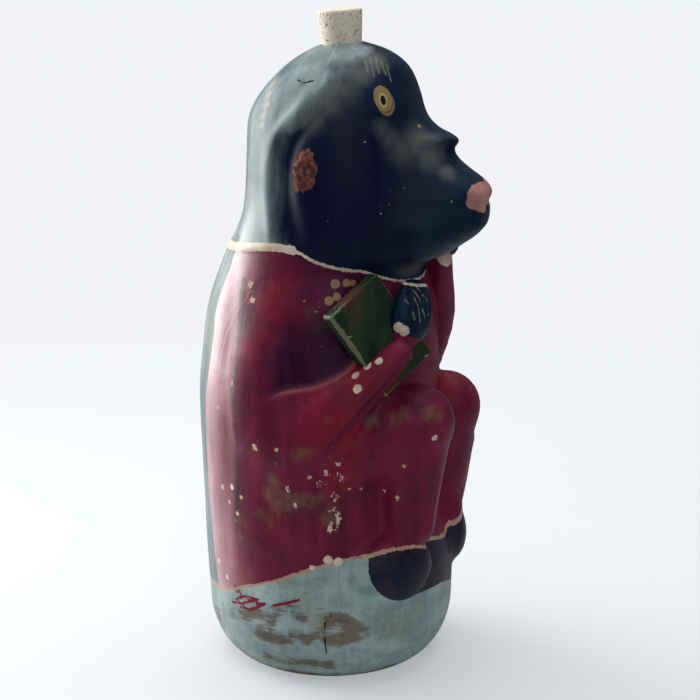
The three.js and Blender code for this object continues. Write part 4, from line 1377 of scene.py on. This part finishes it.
# %% The grain that all coats share
class PaintedClay(Finish):
    """A finish with the strokes, stains and ragged edges of hand-laid paint."""

    def __init__(self, name):
        super().__init__(name)
        self.wobble = self.noise(160.0, 3.0) - .5
        self.ragged = self.noise(520.0, 4.0, rough=.65) - .5
        self.cloud = self.noise(22.0, 4.0)
        self.mottle = self.noise(70.0, 5.0, rough=.6)
        self.strokes = self.noise(90.0, 4.0, (1.0, 1.0, .25))
        self.streaks = self.noise(420.0, 3.0, (1.0, 1.0, .1))
        self.fine = self.noise(900.0, 3.0, (1.0, 1.0, .35))
        self.bands = self.noise(150.0, 5.0, (.3, .3, 1.0), .65)
        self.scratch = self.noise(420.0, 4.0, (.22, .22, 1.0), .7)
        self.slant = self.noise(60.0, 4.0, (.35, .6, 1.0), .6)

    def brushed(self, name, frayed=0.0, wobbly=0.0, softness=.3):
        """The mask of a coat or a mark whose edge frays and wobbles by so many millimetres."""
        distance = self.attribute(name)
        if frayed:
            distance = distance + self.ragged * frayed
        if wobbly:
            distance = distance + self.wobble * wobbly
        return self.edge(distance, softness)


print("a painted finish adds", [name for name in vars(PaintedClay) if not name.startswith("_")])

# %% [markdown]
# The plinth's turquoise is laid on in level strokes, thin and chalky, and it has gone through to the
# brown clay in bands where the bottle was turned and wiped. Each colour is a pair, dark and pale, and
# a noise chooses between them. A colour ramp would do too, but a pair is easier to tune.

# %% Turquoise of the plinth
EARTH = rgb(58, 46, 42), rgb(118, 98, 84)
TURQUOISE = rgb(108, 134, 134), rgb(172, 192, 186)
SMOKY_TURQUOISE = rgb(112, 122, 108)


def plinth_coat(coat):
    """Turquoise over brown clay, and how bare it is."""
    earth = coat.mix((coat.scratch + coat.mottle * .5).over(.55, 3.0), *EARTH)
    paint = coat.mix((coat.bands + coat.mottle + coat.streaks * .5).over(.85, 1.6), *TURQUOISE)
    paint = coat.mix(coat.cloud.over(.42, 4.0) * .7, paint, SMOKY_TURQUOISE)
    bare = coat.attribute("bare") + coat.mottle.sway(1.4)
    bare = (bare + coat.bands.sway(2.6) + coat.scratch.sway(1.6)).over(.54, 2.4)
    specks = (coat.bands + coat.cloud * .7 + coat.ragged * .4).over(1.06, 9.0) * .7
    return coat.mix((bare + specks).clamped() * .88, paint, earth), bare


print("turquoise, dark and pale:", shown(*TURQUOISE))

# %% [markdown]
# The robe is the largest coat, a maroon that was brushed on in long strokes and burnished. It is
# stained by purer red and by darker patches, and where sleeves and lap were handled it is worn to a
# dull olive brown. One flat maroon with a bump map would look like plastic.

# %% Maroon of the robe
MAROON = rgb(88, 20, 48), rgb(130, 32, 64)
DARK_STREAK, RED_STAIN, DULL_STAIN = rgb(66, 12, 38), rgb(146, 22, 46), rgb(82, 34, 50)
OLIVE_WEAR = rgb(74, 46, 48), rgb(128, 102, 80)


def robe_coat(coat):
    """Maroon with its strokes and stains, and how worn it is."""
    maroon = coat.mix(coat.strokes.over(.32, 2.6), *MAROON)
    maroon = coat.mix(coat.streaks.over(.45, 3.0) * .3, maroon, DARK_STREAK)
    maroon = coat.mix(coat.cloud.over(.5, 6.0) * .5, maroon, RED_STAIN)
    maroon = coat.mix(coat.slant.over(.52, 6.0) * .5, maroon, DULL_STAIN)
    worn = coat.attribute("worn") + coat.mottle.sway(2.2)
    worn = (worn + coat.slant.sway(1.8) + coat.streaks.sway(.8)).over(.5, 1.5)
    olive = coat.mix(coat.mottle.over(.35, 3.0), *OLIVE_WEAR)
    return coat.mix(worn * .75, maroon, olive), worn


print("maroon, dark and pale:", shown(*MAROON))

# %% [markdown]
# Towards its back edge the robe is burnished, so that it shines pale beside a window. Part of this is the
# real sheen of a gloss that is added further on; the rest is a painted highlight, a pale maroon mixed into
# the colour itself, without which the sheen would need a far stronger lamp. Painted shade darkens the
# hollow over the forearm and the groove under it, a painted highlight runs along the forearm's upper edge,
# and a dirty seam runs down behind the arm.

# %% Painted sheen, painted shade and dirt of the robe
PAINTED_SHEEN_MAROON, MAROON_PAINTED_SHADE = rgb(204, 162, 169), rgb(40, 7, 44)
DIRTY_SEAM, FOREARM_EDGE_HIGHLIGHT = rgb(62, 48, 56), rgb(168, 100, 98)
SHEEN_REACH, SHEEN_WIDTH, SHEEN_POWER = 46, 42, 2.7


def robe_painted_light_and_dirt(coat, maroon):
    """The robe's colour with its painted sheen, painted shade, painted highlight and dirty seam, and how
    strong the painted sheen is.
    """
    # Painted sheen: a pale maroon towards the back edge and on the shoulder, where the window light grazes.
    lit = ((SHEEN_REACH + coat.attribute("back")) / SHEEN_WIDTH).clamped() ** SHEEN_POWER
    lit = lit + coat.attribute("pale") * .2
    painted_sheen = lit * (1 + coat.strokes.sway(1.0) + coat.slant.sway(.8))
    maroon = coat.mix(painted_sheen.clamped() * .86, maroon, PAINTED_SHEEN_MAROON)
    # Painted shade: a near-black maroon in the hollow over the forearm and in the groove under it.
    grime = coat.attribute("grime") * (1.05 + coat.mottle.sway(.8))
    maroon = coat.mix(grime.clamped() * .9, maroon, MAROON_PAINTED_SHADE)
    seam = coat.edge(coat.attribute("seam") + coat.mottle.sway(6) + coat.strokes.sway(4) - .6, 1.6)
    maroon = coat.mix(seam * .65, maroon, DIRTY_SEAM)
    # Painted highlight along the forearm's upper edge.
    return coat.mix(coat.attribute("lip") * (coat.mottle * .9), maroon, FOREARM_EDGE_HIGHLIGHT), lit


# The painted sheen starts this far ahead of the back edge.
print("the fade starts", SHEEN_REACH, "mm ahead of the robe's back edge")

# %% [markdown]
# The head is blue-black in front and pale grey-green behind, where a hood of thin paint runs over the
# crown and down the back. The two flow into each other over a centimetre and more, with brushed wear and a
# painted sheen on the cheek and brow, painted shade on the side of the face before the ear, and a peach
# stain at the crown, so their border is soft where all the others are crisp.

# %% Hood and skin
HOOD = rgb(86, 108, 113), rgb(154, 170, 166)
HOOD_DULL, HOOD_WARM = rgb(104, 112, 106), rgb(140, 142, 132)
SKIN = rgb(3, 7, 40), rgb(6, 42, 60)
SKIN_RUBBED_AND_SHEEN, SKIN_PAINTED_SHADE, PEACH_STAIN = rgb(98, 104, 98), rgb(2, 4, 44), rgb(206, 184, 172)


def hood_coat(coat):
    hood = coat.mix(coat.strokes.over(.3, 2.4), *HOOD)
    hood = coat.mix(coat.slant.over(.5, 5.0) * .4, hood, HOOD_DULL)
    return coat.mix(coat.cloud.over(.5, 4.0) * .5, hood, HOOD_WARM)


def skin_coat(coat, hood):
    """The dark skin, with wear and painted sheen on the cheek, painted shade before the ear, and the hood's
    paint flowing over it.
    """
    skin = coat.mix(coat.strokes.over(.3, 2.2), *SKIN)
    # Rubbed wear and painted sheen on the cheek and brow.
    rubbed = (coat.attribute("rubbed") + coat.mottle.sway(.5) + coat.slant.sway(.9)).over(.28, 1.25)
    skin = coat.mix(rubbed * .8, skin, SKIN_RUBBED_AND_SHEEN)
    # Painted shade on the side of the face before the ear.
    skin = coat.mix(coat.attribute("grime").clamped() * .8, skin, SKIN_PAINTED_SHADE)
    flowing = coat.attribute("hood") - 5.5 + coat.cloud.sway(10) + coat.strokes.sway(16)
    skin = coat.mix(coat.edge(flowing, 15.0), skin, hood)
    peach = coat.edge(coat.attribute("peach") * 3 + coat.ragged * 5 - 1.9, 1.2)
    return coat.mix(peach * .5, skin, PEACH_STAIN)


print("skin, dark and pale:", shown(*SKIN))

# %% [markdown]
# Now the coats go over each other in the painter's order, each up to its own edge: the strip down the
# back, the robe, a maroon scrawl on the plinth, the dark shoes and the skin.

# %% Coats over each other
SCRAWL_PAINT = rgb(128, 22, 46)
SHOE_PAINT = rgb(18, 22, 46), rgb(52, 44, 54)


def coats_in_order(coat, under, hood, maroon, skin):
    """The colour of all coats, and where the strip down the back is."""
    back = coat.brushed("back", wobbly=2)
    colour = coat.mix(back * coat.edge(coat.attribute("hem") - 3), under, hood)
    colour = coat.mix(coat.brushed("robe", wobbly=1.6), colour, maroon)
    colour = coat.mix(coat.brushed("squiggle", .7), colour, SCRAWL_PAINT)
    below_hem = coat.edge(-1 * coat.attribute("hem") + coat.wobble * 2)
    shoe = coat.brushed("shoe", wobbly=1.4) * below_hem
    colour = coat.mix(shoe, colour, coat.mix(coat.mottle.over(.35, 3.0), *SHOE_PAINT))
    return coat.mix(coat.brushed("skin", wobbly=1.2), colour, skin), back


print("shoes, dark and pale:", shown(*SHOE_PAINT))

# %% [markdown]
# The small marks were put on with a fine brush that was running dry, so they are let fray more than
# the coats, and none is quite opaque.

# %% Lips, hem line, dots and thin lines
LIPS_PAINT = rgb(146, 92, 88), rgb(196, 142, 132)
HEM_PAINT = rgb(176, 134, 112), rgb(206, 172, 150)
CREAM_PAINT = rgb(190, 166, 140), rgb(240, 226, 204)
OCHRE_PAINT = rgb(138, 112, 78), rgb(188, 162, 118)
BROW_PAINT, FINGER_PAINT = rgb(122, 124, 112), rgb(150, 144, 128)


def marks(coat, colour):
    """The colour with the lips, the hem's line, the dots, the brows and the fingers' lines on it."""
    lips = coat.mix(coat.mottle.over(.3, 2.5), *LIPS_PAINT)
    colour = coat.mix(coat.brushed("mouth", 1.6, 1.2, .4), colour, lips)
    from_hem = abs(coat.attribute("hem") + coat.wobble * 1.6 - .6)
    hem_line = coat.edge(.9 + coat.ragged * 2.6 + coat.cloud.sway(3) - from_hem)
    colour = coat.mix(hem_line * .85, colour, coat.mix(coat.mottle, *HEM_PAINT))
    cream = coat.mix(coat.mottle.over(.3, 2.5), *CREAM_PAINT)
    colour = coat.mix(coat.brushed("cream", 1.5, 1.0) * .95, colour, cream)
    colour = coat.mix(coat.brushed("ochre", 1.6, .6) * .85, colour, coat.mix(coat.mottle, *OCHRE_PAINT))
    colour = coat.mix(coat.brushed("brows", .8) * .55, colour, BROW_PAINT)
    return coat.mix(coat.brushed("fingers", 1.2, softness=.4) * .55, colour, FINGER_PAINT)


print("marks in cream, ochre and", len(STROKES), "strokes a brow")

# %% [markdown]
# Each eye is an ochre ring round a dark pupil, with a thin dark line and a second, slipped stroke of the
# brush. The eyes are ovals measured across and up from one point, and mirrored to the other side. They
# are flat in the clay, so they are paint and not spheres.

# %% Painted eyes
EYE = (.0274, .0361, .3040)
EYE_ACROSS = (-.743, .667, -.067)
EYE_UP = (-.366, -.122, .923)
EYE_HALVES = (.00525, .00655)
# These are in half eyes, across and up. The slipped stroke is a second oval of the same size.
SLIP, PUPIL_PLACE, PUPIL_HALVES = (.24, -.26), (-.04, -.12), (.3, .38)
EYE_RAGGED, EYE_SOFTNESS, EYE_LINE_HALF = .12, .06, .05
EYE_RING = rgb(150, 128, 84), rgb(196, 174, 128)
EYE_SLIP, EYE_LINE, PUPIL = rgb(150, 130, 92), rgb(40, 36, 34), rgb(12, 22, 36)


def oval(a, b):
    """How far out a point lies in an oval, 1 on its edge."""
    return (a * a + b * b) ** .5


def painted_eyes(coat, colour):
    """Both eyes, kept to the front of the head."""
    sides = coat.node("ShaderNodeVectorMath", {"operation": "ABSOLUTE"}, {0: coat.place})
    offset = coat.node("ShaderNodeVectorMath", {"operation": "SUBTRACT"}, {0: sides, 1: EYE})
    front = coat.along(coat.place, (0, -1, 0), .001).clamped()
    a = coat.along(offset, EYE_ACROSS, EYE_HALVES[0])
    b = coat.along(offset, EYE_UP, EYE_HALVES[1])
    apart = coat.ragged * EYE_RAGGED
    ring = oval(a, b) + apart
    slipped = oval(a - SLIP[0], b - SLIP[1]) + apart
    (pupil_a, pupil_b), (wide, tall) = PUPIL_PLACE, PUPIL_HALVES
    pupil = oval((a - pupil_a) / wide, (b - pupil_b) / tall) + apart
    colour = coat.mix(coat.edge(1 - slipped, EYE_SOFTNESS) * front * .75, colour, EYE_SLIP)
    line = coat.edge(EYE_LINE_HALF - abs(ring - 1), .04) * front
    colour = coat.mix(line * coat.edge(1.02 - slipped, EYE_SOFTNESS), colour, EYE_LINE)
    paint = coat.mix(coat.edge(1.45 - pupil, .2), *EYE_RING)
    colour = coat.mix(coat.edge(1 - ring, EYE_SOFTNESS) * front * .95, colour, paint)
    return coat.mix(coat.edge(1 - pupil, .15) * front, colour, PUPIL)


print("an eye is", round(2000 * EYE_HALVES[0], 1), "by", round(2000 * EYE_HALVES[1], 1), "mm")

# %% [markdown]
# The book is dark green, with reddish smears and edges that are rubbed pale. It has the same grain and
# the same wear as the rest, only another colour, so it is the same finish with one coat exchanged.

# %% Green of the book
GREEN = rgb(14, 32, 32), rgb(40, 64, 34)
BOOK_SMEAR, BOOK_RIM = rgb(84, 36, 38), rgb(138, 136, 104)


def book_coat(coat):
    green = coat.mix(coat.strokes.over(.3, 2.5), *GREEN)
    colour = coat.mix((coat.mottle + coat.strokes).over(1.08, 7.0) * .8, green, BOOK_SMEAR)
    rim = coat.edge(coat.attribute("rim") + coat.ragged * 3 + coat.cloud.sway(7) - .2, .8)
    return coat.mix(rim * .6, colour, BOOK_RIM)


print("green, dark and pale:", shown(*GREEN))

# %% [markdown]
# Chips and cracks go through every coat, so they come last. Then the surface is closed: fine dust of
# tiny chips, a burnished gloss as a thin clear coat where the robe has its painted sheen, a roughness that
# rises on worn places, and a low relief of strokes. A clear coat is used and not a lower roughness, because
# the burnishing lies over the paint like wax and leaves the paint below it dull.

# %% Chips, gloss and relief
CHIPPED = rgb(196, 160, 130), rgb(232, 214, 192)
CRACK_DARK = rgb(24, 22, 26)
DULL, DULL_SHINE = .46, .14
BURNISH, WAX_ROUGHNESS = .6, .34
BRUSH_RELIEF, BRUSH_RELIEF_DEPTH = .4, .0008


def worn_surface(coat, colour, bare, worn, lit, back):
    """The finished material, from its colour, from how bare and worn it is, and from how strong its painted
    sheen is.
    """
    chips = coat.edge(coat.attribute("chips") + coat.ragged * 8 + coat.streaks.sway(3) - .2)
    dust = coat.noise(420.0, 2.0) + coat.noise(60.0, 2.0) * .5 + coat.attribute("worn") * .05
    chips = (chips + dust.over(1.045, 22.0) * .8).clamped()
    colour = coat.mix(chips * .9, colour, coat.mix(coat.mottle, *CHIPPED))
    cracks = coat.brushed("crack", .9)
    colour = coat.mix(cracks, colour, CRACK_DARK)
    gloss = lit.clamped() * BURNISH * (1 - chips) * (1 - back) * (1.3 - coat.strokes * .6)
    roughness = DULL + coat.mottle.sway(.4) + chips * .3 + (bare + worn) * .12 + coat.strokes.sway(.2)
    height = coat.strokes * .8 + coat.streaks * .25 + coat.fine * .2 - (chips + bare) * .5 - cracks * 2
    shine = {"Specular IOR Level": DULL_SHINE, "Coat Weight": gloss, "Coat Roughness": WAX_ROUGHNESS}
    return coat.surface(colour, roughness, height, BRUSH_RELIEF, BRUSH_RELIEF_DEPTH, **shine)


print("roughness of the dull paint:", DULL)

# %% [markdown]
# With all its coats ready, the painted clay is put together twice, once for the book and once for all
# the rest, and given to every piece but the broken ear and the cork.

# %% Painted clay
def painted_clay(name, bookish=False):
    coat = PaintedClay(name)
    under, bare = plinth_coat(coat)
    maroon, worn = robe_coat(coat)
    maroon, lit = robe_painted_light_and_dirt(coat, maroon)
    hood = hood_coat(coat)
    colour, back = coats_in_order(coat, under, hood, maroon, skin_coat(coat, hood))
    colour = book_coat(coat) if bookish else painted_eyes(coat, marks(coat, colour))
    return worn_surface(coat, colour, bare, worn, lit, back)


clay = painted_clay("painted_clay")
book_cover = painted_clay("painted_book", bookish=True)
for node, piece in pieces.items():
    if node not in ("right_ear", "cork_stopper"):
        piece.data.materials.append(book_cover if node == "book" else clay)
print("nodes in the painted clay:", len(clay.node_tree.nodes))

# %% [markdown]
# Where the ear broke off, the bare clay shows: orange-brown, rough and grainy, with dark specks where
# grit came out. Nothing is painted there, so it has a material of its own.

# %% Broken clay
BROKEN = rgb(100, 52, 40), rgb(146, 82, 62)
GRIT = rgb(40, 24, 30)


def broken_clay():
    coat = Finish("broken_clay")
    grain = coat.noise(700.0, 4.0, rough=.7)
    specks = coat.noise(420.0, 4.0, rough=.65).over(.47, 10)
    colour = coat.mix(coat.noise(160.0, 3.0), *BROKEN)
    colour = coat.mix(specks * .85, colour, GRIT)
    return coat.surface(colour, .85 + grain * .1, grain - specks, .6, .0006)


pieces["right_ear"].data.materials.append(broken_clay())
print("the stump is bare clay")

# %% [markdown]
# The cork is pale and dry, nearly cream, with faint darker bands and small dark pores. The pores of the
# colour are a finer kind than those in the shape, so that both sizes of a real cork's pores show.

# %% Cork
CORK = rgb(222, 210, 186), rgb(244, 234, 212)
PORE = rgb(78, 62, 48)


def cork_finish():
    coat = Finish("natural_cork")
    grain = coat.noise(1100.0, 3.0)
    pores = coat.noise(620.0, 2.0, (1.0, 1.0, .7)).over(.62, 16)
    colour = coat.mix(coat.noise(90.0, 4.0), *CORK)
    colour = coat.mix(pores, colour, PORE)
    return coat.surface(colour, .8 + grain * .1, grain * .4 - pores, .4, .0005)


pieces["cork_stopper"].data.materials.append(cork_finish())
print("materials:", sorted({piece.data.materials[0].name for piece in pieces.values()}))

# %% [markdown]
# The bottle stands on a plain pale floor that fades into a white background. The floor is partly
# see-through, so that the white behind it keeps the shadow as pale as in the photograph; a grey sheet
# with more lamps would do that too, but it would flatten the dark face.

# %% Floor
FLOOR_RADIUS, FLOOR_SIDES = 1.3, 96
FLOOR_PAINT = rgb(222, 225, 229), rgb(226, 229, 233)
FADE_END, FADE_LENGTH, FLOOR_COVER = .85, .6, .6


def plain_floor():
    """A pale disc that fades out into the white background well before its edge."""
    mesh = bpy.data.meshes.new("floor")
    turns = [math.tau * k / FLOOR_SIDES for k in range(FLOOR_SIDES)]
    rim = [(FLOOR_RADIUS * math.cos(turn), FLOOR_RADIUS * math.sin(turn), 0) for turn in turns]
    mesh.from_pydata(rim, [], [tuple(range(FLOOR_SIDES))])
    floor = bpy.data.objects.new("floor", mesh)
    bpy.context.scene.collection.objects.link(floor)
    coat = Finish("floor_paint")
    haze = coat.noise(1.5, 2.0)
    away = coat.node("ShaderNodeVectorMath", {"operation": "LENGTH"}, {0: coat.place}, 1)
    solid = ((FADE_END - away) / FADE_LENGTH).clamped()
    pale = coat.mix(haze, *FLOOR_PAINT)
    mesh.materials.append(coat.surface(pale, .9, haze, .02, Alpha=solid * solid * FLOOR_COVER))
    floor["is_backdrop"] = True
    return floor


floor = plain_floor()
print("floor of", len(floor.data.vertices), "corners")

# %% [markdown]
# The light is that of a studio window: one large soft source on the side of the monkey's back, a wide
# one above, a weak one on the camera's side, and a little light from everywhere. Small lamps would
# give hard glints on the burnished paint, which the photograph doesn't have.

# %% Lamps
LAMPS = [("window_behind", (.2, 1.32, .4), (0, 0, .17), 1.0, 27, (1, .985, .97)),
         ("soft_above", (.4, .3, 2.1), (0, 0, .1), 2.4, 43, (.98, .99, 1)),
         ("fill_beside", (-1.5, -.9, 1.1), (0, 0, .15), 1.4, 8, (.96, .98, 1))]


def soft_light(name, place, target, size, power, colour):
    """A large square lamp aimed at a point."""
    lamp = bpy.data.lights.new(name, "AREA")
    lamp.size = size
    lamp.energy = power
    lamp.color = colour
    light = bpy.data.objects.new(name, lamp)
    light.location = place
    light.rotation_euler = (Vector(target) - Vector(place)).to_track_quat("-Z", "Y").to_euler()
    bpy.context.scene.collection.objects.link(light)
    return light


for lamp in LAMPS:
    print(soft_light(*lamp).name, lamp[4], "watts")

# %% [markdown]
# The world is a dim blue-white for the object and a bright one for the camera alone, which gives the
# white background without any more light on the bottle. A white wall behind would need lamps too.

# %% Backdrop
DIM_SKY, DIM_STRENGTH = rgb(225, 232, 240), .25
BRIGHT_SKY = rgb(241, 243, 246)

world = bpy.data.worlds.new("studio")
world.use_nodes = True
bpy.context.scene.world = world
backdrop = Nodes(world.node_tree)
seen = backdrop.node("ShaderNodeLightPath", {}, {}, "Is Camera Ray")
dim = backdrop.node("ShaderNodeBackground", {}, {"Color": DIM_SKY, "Strength": DIM_STRENGTH})
bright = backdrop.node("ShaderNodeBackground", {}, {"Color": BRIGHT_SKY})
either = backdrop.node("ShaderNodeMixShader", {}, {0: seen, 1: dim, 2: bright})
backdrop.node("ShaderNodeOutputWorld", {}, {"Surface": either}, None)
print("world:", world.name)

# %% [markdown]
# Last, the sizes are written down, so that the dressed bottle can be compared with the frame's box.

# %% Sizes
as_lists = [[list(corner) for corner in box] for box in (cad_box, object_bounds())]
print("frame box", as_lists[0], "dressed box", as_lists[1])
